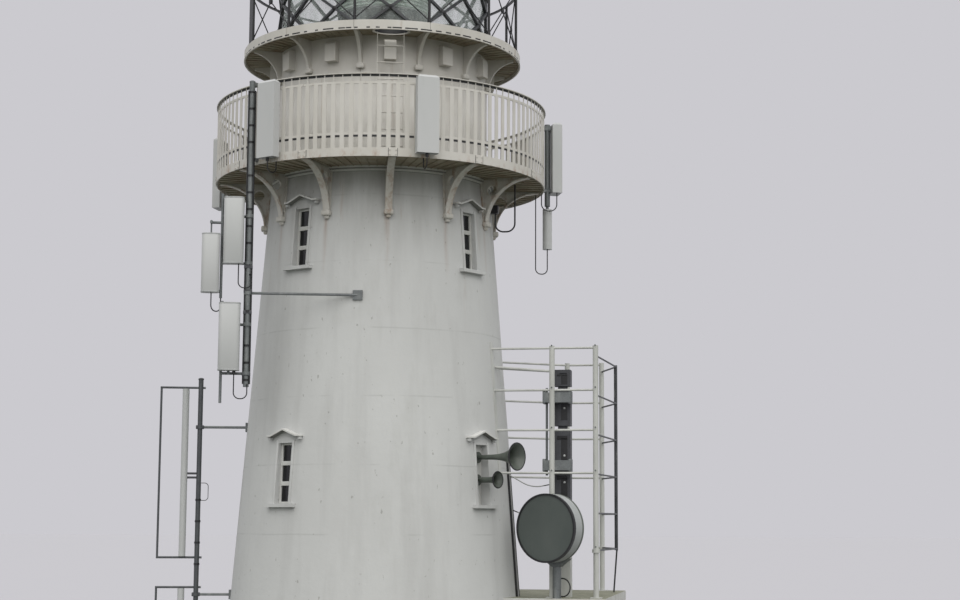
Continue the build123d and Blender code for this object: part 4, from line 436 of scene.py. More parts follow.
def make_finishes(settings):
    """Every finish of the building."""
    # Limewashed masonry: broad patches, soft runs of grime, faint level casting lines, painted shade under the
    # gallery, rust under the brackets
    stone = Finish("stone", "tower_limewash", settings.tower_white, 0.7)
    stone.coat("#B1B1B0", 0.5, (0.55, 5, 0.6, 0.7, 0.3, 0.75))
    stone.coat("#A0A09E", 0.42, (2.2, 5, 0.6, 0.09, 0.5, 0.78))
    stone.coat("#92928B", 0.3, (1.3, 6, 0.65, 0.35, 0.56, 0.8))
    wobble = stone.add("Math", {0: stone.grain(0.8, 3, 0.5, 1, 0, 1), 2: stone.axes()[2]},
                       operation="MULTIPLY_ADD", in_1=0.05)
    course = stone.add("Math", {0: wobble}, operation="PINGPONG", in_1=0.6)
    line = stone.add("MapRange", {0: course}, in_1=0.0, in_2=0.02, in_3=1.0, in_4=0.0)
    stone.coat("#A3A4A2", 0.5, line, (1.6, 3, 0.5, 1, 0.45, 0.6))
    # Painted shade under the gallery, with dark stains in runs: darker towards the soffit
    stone.coat("#7B7870", 0.55, stone.height(9.6, 11.3), (3.0, 5, 0.6, 0.12, 0.35, 0.7))
    stone.coat("#8F6946", 0.45, stone.height(8.2, 11.0), (4.5, 5, 0.6, 0.05, 0.62, 0.74))
    sway = stone.add("Math", {0: stone.grain(3, 3, 0.5, 1, 0, 1, 0.4), 2: stone.azimuth()},
                     operation="MULTIPLY_ADD", in_1=0.02)
    bracket = stone.add("Math", {0: sway}, operation="PINGPONG", in_1=math.radians(SECTOR / 2))
    streak = stone.add("MapRange", {0: bracket}, in_1=0.0, in_2=0.03, in_3=1.0, in_4=0.0)
    stone.coat("#8A5E3A", 0.6, streak, stone.height(9.2, 10.4), (5, 6, 0.65, 0.12, 0.4, 0.66))
    stone.coat("#7A7871", 0.5, (14, 2, 0.5, 0.6, 0.71, 0.76))
    stone.relief((5, 6, 0.6, 1, 0.2, 0.8), 0.006, 0.6).relief((60, 3, 0.6, 1, 0.2, 0.8), 0.0012)

    # Limewashed ledges, hoods and sill beads: bright edges, with painted shade on the faces that look down
    ledge = Finish("ledge", "limewashed_ledge", "#CDCDCA", 0.6)
    ledge.coat("#ABAAA3", 0.5, (3.5, 5, 0.6, 1, 0.48, 0.75))
    # Painted shade on the faces that look down
    ledge.coat("#5E5D57", 0.85, ledge.looks_up(0.3, 0.7, -1.0)).relief((40, 4, 0.6), 0.001)

    # Annex roof: mossy grey top with a limewashed edge
    slab = Finish("slab", "annex_roof_moss_and_limewash", "#C3C3C0", 0.75)
    slab.coat("#A9A9A2", 0.6, (3, 5, 0.6, 0.3, 0.45, 0.7))
    top = slab.looks_up()
    slab.coat("#858573", 1.0, top).coat("#5F624B", 0.7, top, (4, 6, 0.65, 1, 0.45, 0.65))
    slab.coat("#9E9C8D", 0.6, top, (11, 5, 0.6, 1, 0.55, 0.7)).relief((24, 6, 0.65, 1, 0.2, 0.8), 0.006, 0.7)

    # Painted cast iron: old cream white, with rust that bleeds at the edges and in runs
    iron = Finish("iron", "cream_white_ironwork", settings.iron_white, 0.5)
    iron.coat("#ABA79B", 0.55, (1.7, 5, 0.6, 0.5, 0.4, 0.75)).coat("#92795B", 0.55, (6, 5, 0.62, 0.08, 0.6, 0.76))
    iron.coat("#8A6038", 0.6, iron.height(11.4, 11.26), (7, 6, 0.68, 0.5, 0.5, 0.66))
    iron.coat("#775132", 0.6, (9, 6, 0.7, 0.7, 0.67, 0.76)).vary("Roughness", (7, 4, 0.5), 0.42, 0.68)
    iron.relief((45, 4, 0.6, 1, 0.3, 0.7), 0.0015)

    # Watchroom plates: the same paint, with painted light low down behind the balustrade, so the part under the upper
    # gallery reads darker as painted shade
    room = Finish("room", "watchroom_plate_paint", settings.iron_white, 0.5)
    # Painted light: lighter below 13.1 m, fully below 12.5 m, where the wall shows between the balustrade's slats
    room.coat("#E4E2DD", 0.55, room.height(13.1, 12.5)).coat("#A9A498", 0.45, (1.7, 5, 0.6, 0.5, 0.42, 0.75))
    room.coat("#8E765A", 0.5, (6, 5, 0.62, 0.06, 0.64, 0.8)).coat("#775132", 0.6, (9, 6, 0.7, 0.7, 0.69, 0.77))
    room.relief((45, 4, 0.6, 1, 0.3, 0.7), 0.0015)

    # Gallery decks: peeling beige and brown paint below, worn grey on top
    soffit = Finish("soffit", "peeling_soffit_paint", "#928B78", 0.7)
    soffit.coat("#73624D", 0.75, (3.2, 6, 0.65, 1, 0.42, 0.66)).coat("#4D3524", 0.7, (8, 6, 0.7, 1, 0.6, 0.72))
    soffit.coat("#7B7C75", 0.9, soffit.looks_up(0.5, 0.8)).relief((30, 5, 0.65, 1, 0.3, 0.7), 0.003, 0.6)

    # Black iron paint of the upper railing: dull, with a little rust
    black = Finish("black", "black_iron_paint", "#121315", 0.45)
    black.coat("#272727", 0.6, (5, 5, 0.6, 0.6, 0.45, 0.75)).coat("#4D311F", 0.5, (13, 6, 0.7, 0.6, 0.68, 0.76))
    black.relief((60, 3, 0.6), 0.001)

    # Lantern bars that have lost most of their paint: dark grey with pale remains
    bars = Finish("bars", "worn_grey_bars", "#484A4D", 0.5)
    bars.coat("#26282A", 0.7, (3, 5, 0.6, 0.6, 0.42, 0.62)).coat("#858683", 0.7, (6, 5, 0.65, 0.4, 0.58, 0.7))
    bars.coat("#5C3F2B", 0.5, (12, 6, 0.7, 0.6, 0.68, 0.76)).relief((60, 4, 0.6), 0.001)

    # Painted joinery of frames and doors: brush marks and grey wear along the grain
    wood = Finish("wood", "white_joinery_paint", "#C5C5C2", 0.42)
    wood.coat("#A7A7A0", 0.5, (3, 5, 0.6, 0.3, 0.45, 0.75)).coat("#79776B", 0.45, (26, 4, 0.6, 0.12, 0.66, 0.78))
    wood.relief((70, 4, 0.6, 0.05, 0.3, 0.7), 0.0008)

    # Window glass, near black as painted shade of the dark room behind it, with a film of salt
    pane = Finish("pane", "dark_window_glass", "#090A0D", 0.08)
    pane.coat("#32373B", 0.4, (7, 5, 0.6, 0.5, 0.5, 0.85)).vary("Roughness", (9, 4, 0.6), 0.05, 0.22)

    # Lantern glass: see-through, with a pale film of salt that thickens in runs
    glass = Finish("glazing", "lantern_glazing", "#D5DEDB", 0.05)
    glass.coat("#B4C0BC", 0.5, (2.5, 5, 0.6, 0.3, 0.5, 0.8)).vary("Alpha", (4, 5, 0.6, 0.25, 0.4, 0.85), 0.1, 0.34)
    glass.vary("Roughness", (6, 4, 0.6), 0.03, 0.14)

    # Lens of heavy optical glass: green in its depth, with painted glints in bright level bands
    lens = Finish("lens", "green_lens_glass", "#B7C6BB", 0.1)
    lens.shader.inputs["IOR"].default_value = 1.6
    # The pale level bands are painted glints
    lens.coat("#5F7A6C", 0.65, (5, 4, 0.6, 0.4, 0.4, 0.66)).coat("#E6EBE6", 0.8, (9, 4, 0.6, 2.5, 0.56, 0.68))
    lens.vary("Roughness", (12, 3, 0.6), 0.04, 0.16)

    # Brass of the lens frame: dull, with brown tarnish
    brass = Finish("brass", "dull_lens_brass", "#856C3A", 0.38, 0.9)
    brass.coat("#514225", 0.6, (7, 5, 0.6, 1, 0.45, 0.7)).vary("Roughness", (11, 4, 0.6), 0.28, 0.55)

    # Roof plates: dark paint that chalks in patches
    roof = Finish("roof", "weathered_roof_paint", "#343A38", 0.5)
    roof.coat("#4F5651", 0.6, (2.2, 6, 0.6, 0.5, 0.45, 0.7)).coat("#697169", 0.5, (8, 6, 0.7, 0.2, 0.62, 0.78))
    roof.vary("Roughness", (5, 4, 0.6), 0.4, 0.7).relief((20, 5, 0.6), 0.003)

    # Galvanised tube: dull zinc with spangle of 22 mm, white bloom, and darker on the low mast
    zinc = Finish("zinc", "galvanised_zinc", "#777B7B", 0.55, 0.55)
    spangle = zinc.add("TexVoronoi", {"Vector": zinc.place}, in_Scale=45.0)
    zinc.coat("#5C6061", 0.55, zinc.add("MapRange", {0: spangle}, in_1=0.0, in_2=0.9))
    zinc.coat("#9B9D99", 0.6, (5, 5, 0.6, 0.3, 0.52, 0.74)).coat("#6B5744", 0.5, (12, 6, 0.7, 0.5, 0.7, 0.78))
    zinc.coat("#3E4044", 0.65, zinc.add("Math", {0: zinc.axes()[0]}, operation="LESS_THAN", in_1=-3.22))
    zinc.vary("Roughness", (9, 4, 0.6), 0.42, 0.7).relief((80, 3, 0.6), 0.0006)

    # Aerial covers of moulded plastic: pale and even, dusty in runs, with painted shade on the faces that look down
    cover = Finish("cover", "pale_aerial_plastic", "#BBBCBC", 0.42)
    cover.coat("#ADB0AF", 0.55, (1.6, 5, 0.55, 0.25, 0.4, 0.72)).coat("#8F8E85", 0.4, (7, 6, 0.65, 0.1, 0.66, 0.82))
    # Painted shade on the faces that look down
    cover.coat("#787C7B", 0.8, cover.looks_up(0.6, 0.9, -1.0)).relief((120, 2, 0.5), 0.0003)

    # End caps of the aerial covers: the same plastic, greyer
    cap = Finish("cap", "grey_cap_plastic", "#A9ABAB", 0.45)
    cap.coat("#7D8080", 0.6, (6, 5, 0.6, 0.4, 0.45, 0.7)).relief((90, 2, 0.5), 0.0003)

    # Horn stack: matt black moulding with dusty faces
    horn = Finish("horn", "matt_black_horn_case", "#3A3B3F", 0.55)
    horn.coat("#525459", 0.7, (3, 5, 0.6, 0.4, 0.4, 0.75)).coat("#5B5C5B", 0.4, (14, 6, 0.7, 0.2, 0.66, 0.8))
    horn.relief((90, 3, 0.6), 0.0008, 0.6)

    # Trumpets: grey-green paint, darker in patches
    grey = Finish("grey", "grey_green_trumpet_paint", "#565C55", 0.4)
    grey.coat("#3A403B", 0.6, (4, 5, 0.6, 0.5, 0.42, 0.7)).coat("#737872", 0.4, (13, 5, 0.65, 0.3, 0.62, 0.78))
    grey.relief((70, 3, 0.6), 0.0006)

    # Drum aerial: a pale painted shroud and a dark flat cover
    drum = Finish("drum", "drum_cover_and_shroud", "#A0A3A3", 0.5)
    along = drum.axes(drum.add("Mapping", {"Vector": drum.place}, vector_type="TEXTURE",
                               in_Location=DRUM_BACK, in_Rotation=(0, 0, math.radians(DRUM_AZIMUTH - 90))))[0]
    face = (drum.add("Math", {0: along}, operation="GREATER_THAN", in_1=0.4367),
            drum.add("Math", {0: along}, operation="LESS_THAN", in_1=0.4395))
    drum.coat("#8B8F8F", 0.5, (3, 5, 0.6, 0.4, 0.42, 0.7)).coat("#474E4B", 1.0, *face)
    drum.coat("#555B58", 0.8, *face, (1.7, 4, 0.55, 0.6, 0.35, 0.75))
    drum.coat("#3C4140", 0.4, (9, 6, 0.7, 0.12, 0.64, 0.82)).relief((90, 2, 0.5), 0.0004)

    # Stand of the fog signal: thick white paint over steel tube
    tube = Finish("tube", "stand_white_paint", "#BEBFBB", 0.48)
    tube.coat("#9B9C97", 0.6, (4, 5, 0.6, 0.2, 0.42, 0.72)).coat("#6B6960", 0.45, (16, 6, 0.7, 0.3, 0.66, 0.78))
    tube.coat("#775438", 0.5, (11, 6, 0.7, 0.5, 0.7, 0.77)).relief((60, 4, 0.6), 0.001)

    # Cable jackets and ties of black rubber; the middle feeder on the wall has been painted white
    rubber = Finish("rubber", "black_cable_jacket", "#0E0F10", 0.5)
    rubber.coat("#2C2D31", 0.6, (8, 4, 0.6, 0.4, 0.42, 0.75))
    rubber.coat("#ADAEAB", 0.95,
                rubber.add("Math", {0: rubber.azimuth()}, operation="COMPARE",
                           in_1=math.radians(70.3), in_2=math.radians(0.75)),
                rubber.add("Math", {0: rubber.axes()[2]}, operation="LESS_THAN", in_1=6.2))
    rubber.relief((150, 2, 0.6), 0.0004)

    # Floors of worn grey concrete
    floor = Finish("concrete", "worn_floor_concrete", "#858279", 0.8)
    floor.coat("#6A6962", 0.6, (1.5, 6, 0.6, 1, 0.4, 0.7)).coat("#9A988F", 0.5, (9, 6, 0.65, 1, 0.55, 0.72))
    floor.relief((35, 6, 0.6), 0.003, 0.6)


def finish(key):
    """A finish by its key. All are made on the first use."""
    if not FINISHES:
        make_finishes(bpy.context.scene.lighthouse)
    return FINISHES[key]


FINISH_SLOTS = {
    "iron": "white_ironwork", "soffit": "white_ironwork", "black": "black_ironwork", "brass": "black_ironwork",
    "stone": "white_masonry", "ledge": "white_masonry", "wood": "white_joinery", "pane": "window_glass",
    "lens": "lens_glass", "roof": "roof_metal", "zinc": "galvanised_steel", "horn": "galvanised_steel",
    "cover": "aerial_plastic", "cap": "aerial_plastic", "rubber": "cable_rubber", "grey": "drum_grey",
}
BUILT_PIECES = {
    "stone": ("tower_lower_straight_bays", "tower_lower_diagonal_bays", "tower_upper_straight_bays",
              "tower_upper_window_bays", "window_sills", "window_hoods", "annex_side_walls", "annex_end_wall",
              "annex_corbels"),
    "slab": ("annex_roof_slab",),
    "concrete": ("tower_floors",),
    "wood": ("window_frames", "blanked_window_panel", "doors"),
    "pane": ("window_panes",),
    "soffit": ("lower_gallery_deck", "upper_gallery_deck", "manhole_plate"),
    "iron": ("lower_gallery_fascia", "lower_gallery_brackets", "lower_gallery_balustrade", "ventilator_boxes",
             "manhole_ladder", "upper_gallery_kerb", "upper_gallery_brackets", "lantern_sill"),
    "room": ("watchroom_wall_plates",),
    "black": ("upper_gallery_stanchions", "upper_gallery_rods", "upper_gallery_top_rail", "gallery_mesh_panel",
              "lens_pedestal"),
    "bars": ("lantern_astragals", "fog_stand_guard"),
    "glazing": ("lantern_glass",),
    "lens": ("lens",),
    "roof": ("lantern_cornice", "roof_gores", "ventilator_ball"),
    "zinc": ("lightning_rod", "aerial_masts", "aerial_mast_arms", "panel_aerial_mounts", "horn_clamps",
             "drum_aerial_post"),
    "cover": ("rounded_aerials", "panel_aerials", "rod_aerials"),
    "tube": ("fog_stand_posts", "fog_stand_rails"),
    "horn": ("horn_stack",),
    "grey": ("trumpets",),
    "drum": ("drum_aerial",),
    "rubber": ("cables",),
}


# Settings that a user would change
class LighthouseSettings(bpy.types.PropertyGroup):
    """Sizes and colours of the dressed lighthouse."""

    tower_white: bpy.props.FloatVectorProperty(
        name="Tower white", description="Colour of the limewash on the tower and the annex",
        subtype="COLOR", size=4, min=0, max=1, default=srgb("#C5C6C5"))
    iron_white: bpy.props.FloatVectorProperty(
        name="Ironwork white", description="Colour of the paint on the galleries and the watchroom",
        subtype="COLOR", size=4, min=0, max=1, default=srgb("#C8C5BF"))
    bolt_radius: bpy.props.FloatProperty(
        name="Bolt radius", description="Radius of the bolt heads", default=0.014, unit="LENGTH")
    slot_height: bpy.props.FloatProperty(
        name="Kerb slot height", description="Height of the slots in the upper kerb", default=0.024, unit="LENGTH")
    strip_height: bpy.props.FloatProperty(
        name="Strip height", description="Height of the black strips in the balustrade", default=0.036, unit="LENGTH")
    tie_pitch: bpy.props.FloatProperty(
        name="Tie pitch", description="Distance between the cable ties on the masts", default=0.3, unit="LENGTH")
    rib_count: bpy.props.IntProperty(
        name="Soffit ribs", description="Number of ribs round the underside of each gallery", default=96)


class LIGHTHOUSE_OT_finishes(bpy.types.Operator):
    """Gives every built piece its finish"""
    bl_idname = "lighthouse.finishes"
    bl_label = "Finishes of the built pieces"

    def execute(self, context):
        bare = set(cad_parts)
        for tint, names in BUILT_PIECES.items():
            for name in names:
                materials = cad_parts[name].data.materials
                materials.clear()
                materials.append(finish(tint))
            bare.difference_update(names)
        if bare:
            raise RuntimeError(f"no finish for {sorted(bare)}")
        return {"FINISHED"}


class LIGHTHOUSE_OT_balustrade(bpy.types.Operator):
    """Black strips behind the pins and slats, cover plates and bolts of the lower gallery"""
    bl_idname = "lighthouse.balustrade"
    bl_label = "Balustrade detail"

    def execute(self, context):
        settings = context.scene.lighthouse
        strip = settings.strip_height
        bands = (
            ("balustrade_top_strip", "black", 3.0838, RAIL_FOOT - strip, RAIL_FOOT, 0.006),
            ("balustrade_low_strip", "black", 3.0955, BALUSTRADE_FOOT, BALUSTRADE_FOOT + strip, 0.004),
            ("balustrade_strip_backing", "iron", 3.0912, BALUSTRADE_FOOT - 0.004, BALUSTRADE_FOOT + 0.04, 0.003),
            ("balustrade_top_backing", "iron", 3.0768, RAIL_FOOT - 0.039, RAIL_FOOT + 0.0005, 0.003),
        )
        for name, tint, radius, low, high, wall in bands:
            fit(band(radius, low, high, wall), name, tint)
        plate = block((0.15, 0.008, 0.15), 0.002, 1, (0, -0.004, 0))
        fit(plate, "fascia_cover_plates", "iron", ring(GALLERY_RADIUS, FASCIA_MIDDLE), angle=0)
        joint = block((0.006, 0.006, 0.138), 0.001, 1, (0, -0.003, 0))
        joints = [facing(SECTOR * index + side * 1.46, GALLERY_RADIUS, FASCIA_MIDDLE)
                  for index in range(SECTORS) for side in (-1, 1)]
        fit(joint, "fascia_joints", "black", joints, "white_ironwork", 0)
        bolts = [facing(SECTOR * index + across, GALLERY_RADIUS + 0.011, FASCIA_MIDDLE + rise)
                 for index in range(SECTORS) for across in (-1, 1) for rise in (-0.04, 0.04)]
        fit(bolt_head(settings.bolt_radius, 0.012), "fascia_bolts", "iron", bolts, angle=0)
        return {"FINISHED"}


class LIGHTHOUSE_OT_soffit(bpy.types.Operator):
    """Radial ribs under both galleries, and the ledge on the wall"""
    bl_idname = "lighthouse.soffit"
    bl_label = "Soffit ribs and ledge"

    def execute(self, context):
        count = context.scene.lighthouse.rib_count
        azimuths = [360 / count * (index + 0.5) for index in range(count)]
        clear = [a for a in azimuths if abs((a + 15) % SECTOR - 15) > 1.6]
        rib = block((0.022, 0.9, 0.018), 0.004, 1, (0, 0, -0.009))
        fit(rib, "soffit_ribs", "soffit", [facing(a, 2.6, SOFFIT) for a in clear], angle=0)
        clear = [a for a in azimuths if abs(a % SECTOR - 15) > 2.4 and abs((a + 180) % 360 - 180) > 9.5]
        rib = block((0.02, 0.5, 0.014), 0.003, 1, (0, 0, -0.007))
        fit(rib, "upper_soffit_ribs", "soffit", [facing(a, 2.33, UPPER_SOFFIT) for a in clear], angle=0)
        wall = tower_radius(SOFFIT)
        ledge = [(-0.01, 11.288), (0.075, 11.288), (0.07, 11.255), (0.035, 11.235), (0.025, 11.2), (-0.003, 11.19)]
        ledge = lathe([(wall + out, height) for out, height in ledge], 96)
        fit(ledge, "wall_ledge", "ledge", slot="white_ironwork")
        return {"FINISHED"}


def bracket_line(share):
    """Point (radius, height) on the curved flange of a bracket, from the deck's edge to the foot."""
    turn = math.radians(90 * share)
    return BRACKET_TIP - BRACKET_REACH * math.sin(turn), BRACKET_FOOT + BRACKET_DROP * math.cos(turn)


def bracket_corner(share):
    """Point (radius, height) on the bracket's straight edges, along the soffit and down the wall."""
    if share < 0.5:
        return BRACKET_TIP - (BRACKET_TIP - tower_radius(SOFFIT)) * share * 2, SOFFIT
    height = SOFFIT - (SOFFIT - BRACKET_FOOT) * (share - 0.5) * 2
    return tower_radius(height), height


def rail(line, across):
    """Line of (radius, height) points, set to one side of the bracket."""
    return [(across, -radius, height) for radius, height in line]


def gallery_bracket():
    """One bracket at the front: pierced web, curved flange, wall plate and boss."""
    shares = [index / 24 for index in range(25)]
    curve = [bracket_line(share) for share in shares]
    web = sheet(rail(curve, 0), rail([bracket_corner(share) for share in shares], 0), 0.03)
    pick()
    bpy.ops.mesh.primitive_cylinder_add(
        vertices=32, radius=0.095, depth=0.3, location=(0, -BRACKET_EYE, SOFFIT - 0.22),
        rotation=(0, math.radians(90), 0))
    cut(web, bpy.context.object)
    flange = sheet(rail(curve, -0.065), rail(curve, 0.065), 0.03)
    heights = (BRACKET_FOOT + 0.02, (BRACKET_FOOT + SOFFIT) / 2, SOFFIT)
    wall = [(tower_radius(height) + 0.012, height) for height in heights]
    plate = sheet(rail(wall, -0.06), rail(wall, 0.06), 0.022)
    foot = -tower_radius(BRACKET_FOOT)
    boss = block((0.17, 0.13, 0.1), 0.03, 3, (0, foot - 0.055, BRACKET_FOOT))
    drop = block((0.09, 0.08, 0.09), 0.03, 3, (0, foot - 0.035, BRACKET_FOOT - 0.06))
    return join([web, flange, plate, boss, drop], "gallery_bracket")


class LIGHTHOUSE_OT_brackets(bpy.types.Operator):
    """Brackets of the lower gallery with their bolts and eyes, and the bosses of both galleries"""
    bl_idname = "lighthouse.brackets"
    bl_label = "Brackets"

    def execute(self, context):
        turns = [turned(SECTOR * index) for index in range(SECTORS)]
        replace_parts(fit(gallery_bracket(), "gallery_brackets", "iron", turns), "lower_gallery_brackets")
        heights = [BRACKET_FOOT + rise for rise in (0.14, 0.36, 0.6, 0.8)]
        bolts = [turn @ at(across, -tower_radius(height) - 0.026, height)
                 for turn in turns for height in heights for across in (-0.04, 0.04)]
        bolt = bolt_head(context.scene.lighthouse.bolt_radius * 1.3, 0.016)
        fit(bolt, "bracket_bolts", "iron", bolts, angle=0)
        eye = flat_ring(0.094, 0.116, -0.026, 0.026, 24, turned(90, "Y"))
        fit(eye, "bracket_eyes", "iron", ring(BRACKET_EYE, SOFFIT - 0.22))
        foot = block((0.16, 0.09, 0.1), 0.03, 3)
        fit(foot, "upper_bracket_feet", "iron", ring(2.04, 13.13, SECTOR / 2))
        return {"FINISHED"}


class LIGHTHOUSE_OT_upper_gallery(bpy.types.Operator):
    """Black patches as painted shade of the upper kerb's slots, the kerb's lip, shoes and crossings of the railing,
    manhole rims and a black liner as painted shade in the manhole
    """
    bl_idname = "lighthouse.upper_gallery"
    bl_label = "Upper gallery detail"

    def execute(self, context):
        chance = random.Random(7)
        azimuth = 0.0
        slots = []
        # Black blocks on the kerb: painted shade of its slots
        while azimuth < 358:
            length = chance.uniform(0.1, 0.3)
            arc = math.degrees(length / UPPER_RADIUS)
            slot = block((length, 0.006, context.scene.lighthouse.slot_height), 0.001)
            chord = UPPER_RADIUS * math.cos(length / 2 / UPPER_RADIUS) - 0.0005
            slot.data.transform(facing(azimuth + arc / 2, chord, 13.668))
            slots.append(slot)
            azimuth += arc + math.degrees(chance.uniform(0.05, 0.12) / UPPER_RADIUS)
        fit(slots, "kerb_slot_shade", "black", angle=0)
        fit(band(UPPER_RADIUS + 0.006, 13.636, 13.652, 0.01), "kerb_lip", "iron")
        shoe = [(0.025, 0.0), (0.05, 0.0), (0.05, 0.012), (0.034, 0.022), (0.034, 0.075), (0.025, 0.08)]
        fit(lathe(shoe, 16), "stanchion_shoes", "black", ring(STANCHION_RADIUS, UPPER_DECK_TOP, SECTOR / 2))
        knob = [(0.0, -0.018), (0.045, -0.018), (0.05, 0.0), (0.045, 0.018), (0.0, 0.018)]
        crossings = ring(STANCHION_RADIUS * math.cos(math.radians(SECTOR / 2)), 14.465)
        fit(lathe(knob, 16, turned(90, "X")), "rod_crossing_plates", "black", crossings)
        oval = Matrix.Diagonal((0.31, 0.2, 1, 1))
        for name, tint, height, section in (
                ("manhole_rim", "iron", UPPER_DECK_TOP, (0.98, 1.06, 0.0, 0.02)),
                # The black liner is painted shade inside the manhole
                ("manhole_shade_liner", "black", UPPER_SOFFIT + 0.001, (0.978, 0.998, 0.0, 0.098)),
                ("manhole_under_rim", "iron", UPPER_SOFFIT, (0.99, 1.1, -0.018, 0.0))):
            fit(flat_ring(*section, 32, at(0, -MANHOLE_OUT, height) @ oval), name, tint)
        return {"FINISHED"}


def lens_radius(height):
    """Radius of the lens at a height."""
    for (low, start), (high, end) in zip(LENS_PROFILE, LENS_PROFILE[1:]):
        if height <= high:
            return start + (end - start) * (height - low) / (high - low)
    return LENS_PROFILE[-1][1]


def roof_point(share):
    """Point on the outer curve of the roof, from its foot to its top."""
    foot, haunch, top = (2.145, 17.188), (1.35, 18.058), (0.28, 18.538)
    (ax, ay), (bx, by), (cx, cy) = foot, haunch, top
    d = 2 * (ax * (by - cy) + bx * (cy - ay) + cx * (ay - by))
    ux = ((ax**2 + ay**2) * (by - cy) + (bx**2 + by**2) * (cy - ay) + (cx**2 + cy**2) * (ay - by)) / d
    uy = ((ax**2 + ay**2) * (cx - bx) + (bx**2 + by**2) * (ax - cx) + (cx**2 + cy**2) * (bx - ax)) / d
    radius = math.hypot(ax - ux, ay - uy)
    start, end = math.atan2(ay - uy, ax - ux), math.atan2(cy - uy, cx - ux)
    angle = start + (end - start) * share
    return ux + radius * math.cos(angle), uy + radius * math.sin(angle)


def roof_seam():
    """Rounded rib that runs up the roof at its front."""
    curve = bpy.data.curves.new("roof_seam", "CURVE")
    curve.dimensions = "3D"
    points = [roof_point(step / 16) for step in range(17)]
    line = curve.splines.new("POLY")
    line.points.add(len(points) - 1)
    for point, (radius, height) in zip(line.points, points):
        point.co = (0, -radius, height, 1)
    curve.bevel_depth = 0.02
    curve.bevel_resolution = 2
    curve.use_fill_caps = True
    seam = bpy.data.objects.new("roof_seam", curve)
    bpy.context.collection.objects.link(seam)
    pick(seam)
    bpy.ops.object.convert(target="MESH")
    return bpy.context.object


class LIGHTHOUSE_OT_lantern(bpy.types.Operator):
    """Bosses of the lantern bars, rings and frame of the lens, seams of the roof, collar and gutter"""
    bl_idname = "lighthouse.lantern"
    bl_label = "Lantern detail"

    def execute(self, context):
        boss = [(0.0, -0.02), (0.042, -0.02), (0.042, -0.006), (0.026, 0.004), (0.0, 0.008)]
        crossings = []
        for row in range(1, 8):
            crossings += ring(LANTERN_RADIUS, LANTERN_LOW + BAR_RISE * row, 0 if row % 2 else SECTOR / 2)
        fit(lathe(boss, 12, turned(90, "X")), "lantern_bosses", "black", crossings)

        prism = ((-0.02, -0.016), (0.026, -0.008), (0.012, 0.02), (-0.03, 0.022))
        prisms = []
        for index in range(LENS_RINGS):
            height = 14.64 + index * (1.98 / LENS_RINGS)
            radius = lens_radius(height)
            prisms.append(lathe([(radius + out, height + rise) for out, rise in prism], 64))
        fit(prisms, "lens_rings", "lens", angle=20)
        bar = block((0.03, 0.025, 0.52), 0.005)
        fit(bar, "lens_frame_bars", "brass", ring(0.935, 15.375, count=8), angle=0)

        fit(roof_seam(), "roof_seams", "roof", [turned(SECTOR * (index + 0.5)) for index in range(SECTORS)])
        collar = [(0.17, 18.6), (0.24, 18.6), (0.24, 18.64), (0.2, 18.66), (0.17, 18.66)]
        fit(lathe(collar, 32), "ball_collar", "roof")
        gutter = [(2.19, 17.188), (2.225, 17.188), (2.235, 17.235), (2.215, 17.235), (2.205, 17.2), (2.19, 17.2)]
        fit(lathe(gutter, 96), "cornice_gutter", "roof")
        return {"FINISHED"}


def mast_heights(start, end, pitch, taken, margin):
    """Heights at a pitch along a mast, but for those that are near a clamp."""
    height = start
    while height < end:
        if all(abs(height - other) > margin for other in taken):
            yield height
        height += pitch


def aerial_covers():
    """Rounded covers of the three mast aerials, with a flanged cap at each end."""
    covers, caps = [], []
    for across, foot, top, width in AERIALS:
        x, y = MAST.x + across, MAST.y - 0.06
        covers.append(rounded_edges(block((width, 0.2, top - foot), centre=(x, y, (foot + top) / 2)), 0.075))
        for height in (foot + 0.011, top - 0.013):
            caps.append(rounded_edges(block((width + 0.008, 0.206, 0.026)), 0.078))
            caps[-1].data.transform(at(x, y, height))
    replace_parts(fit(covers, "aerial_covers", "cover"), "rounded_aerials")
    fit(caps, "aerial_caps", "cap")


class LIGHTHOUSE_OT_masts(bpy.types.Operator):
    """Cable ties, arms, clamps, caps and feeders of the masts, and covers of the aerials"""
    bl_idname = "lighthouse.masts"
    bl_label = "Mast and aerial detail"

    def execute(self, context):
        pitch = context.scene.lighthouse.tie_pitch
        clamps = (8.94, 9.26, 9.466, 10.3, 7.536, 8.39, 7.28, 11.325, 12.68)
        ties = on_mast(MAST, mast_heights(7.42, 12.6, pitch, clamps, 0.08))
        clamps = (6.72, 3.66, 7.45, 4.33, 3.79, 0.67)
        low_ties = on_mast(LOW_MAST, mast_heights(0.7, 5.7, pitch * 1.3, clamps, 0.09))
        ties += [tie @ Matrix.Diagonal((0.92, 0.92, 1, 1)) for tie in low_ties]
        fit(flat_ring(0.0495, 0.058, -0.018, 0.018, 20), "mast_ties", "rubber", ties)
        aerial_covers()
        arm = block((0.27, 0.03, 0.04), 0.008, 2, (-0.145, 0, 0))
        fit(arm, "rod_arms", "horn", on_mast(LOW_MAST, (5.865, 5.79, 2.2, 2.125)))
        hanger = flat_ring(0.0, 0.014, 0.0, 0.25, 12, at(MAST.x - 0.655, MAST.y - 0.03, 9.94))
        fit(hanger, "aerial_hanger", "zinc")
        clamps = on_mast(MAST, (8.97, 9.4, 8.6, 7.52)) + on_mast(LOW_MAST, (6.72, 3.66))
        fit(block((0.15, 0.1, 0.07), 0.012, 2), "mast_clamps", "horn", clamps)
        cap = [(0.0, 0.0), (0.053, 0.0), (0.053, 0.02), (0.03, 0.034), (0.0, 0.036)]
        fit(lathe(cap, 20), "mast_caps", "zinc", on_mast(MAST, (12.7,)) + on_mast(LOW_MAST, (7.6,)))
        beside = ((0.055, -0.022), (0.061, 0.003), (-0.058, -0.018))
        feeders = [at(MAST.x + across, MAST.y + back, 0) for across, back in beside]
        fit(flat_ring(0.0, 0.012, 7.35, 12.55, 10), "mast_feeders", "rubber", feeders)
        return {"FINISHED"}


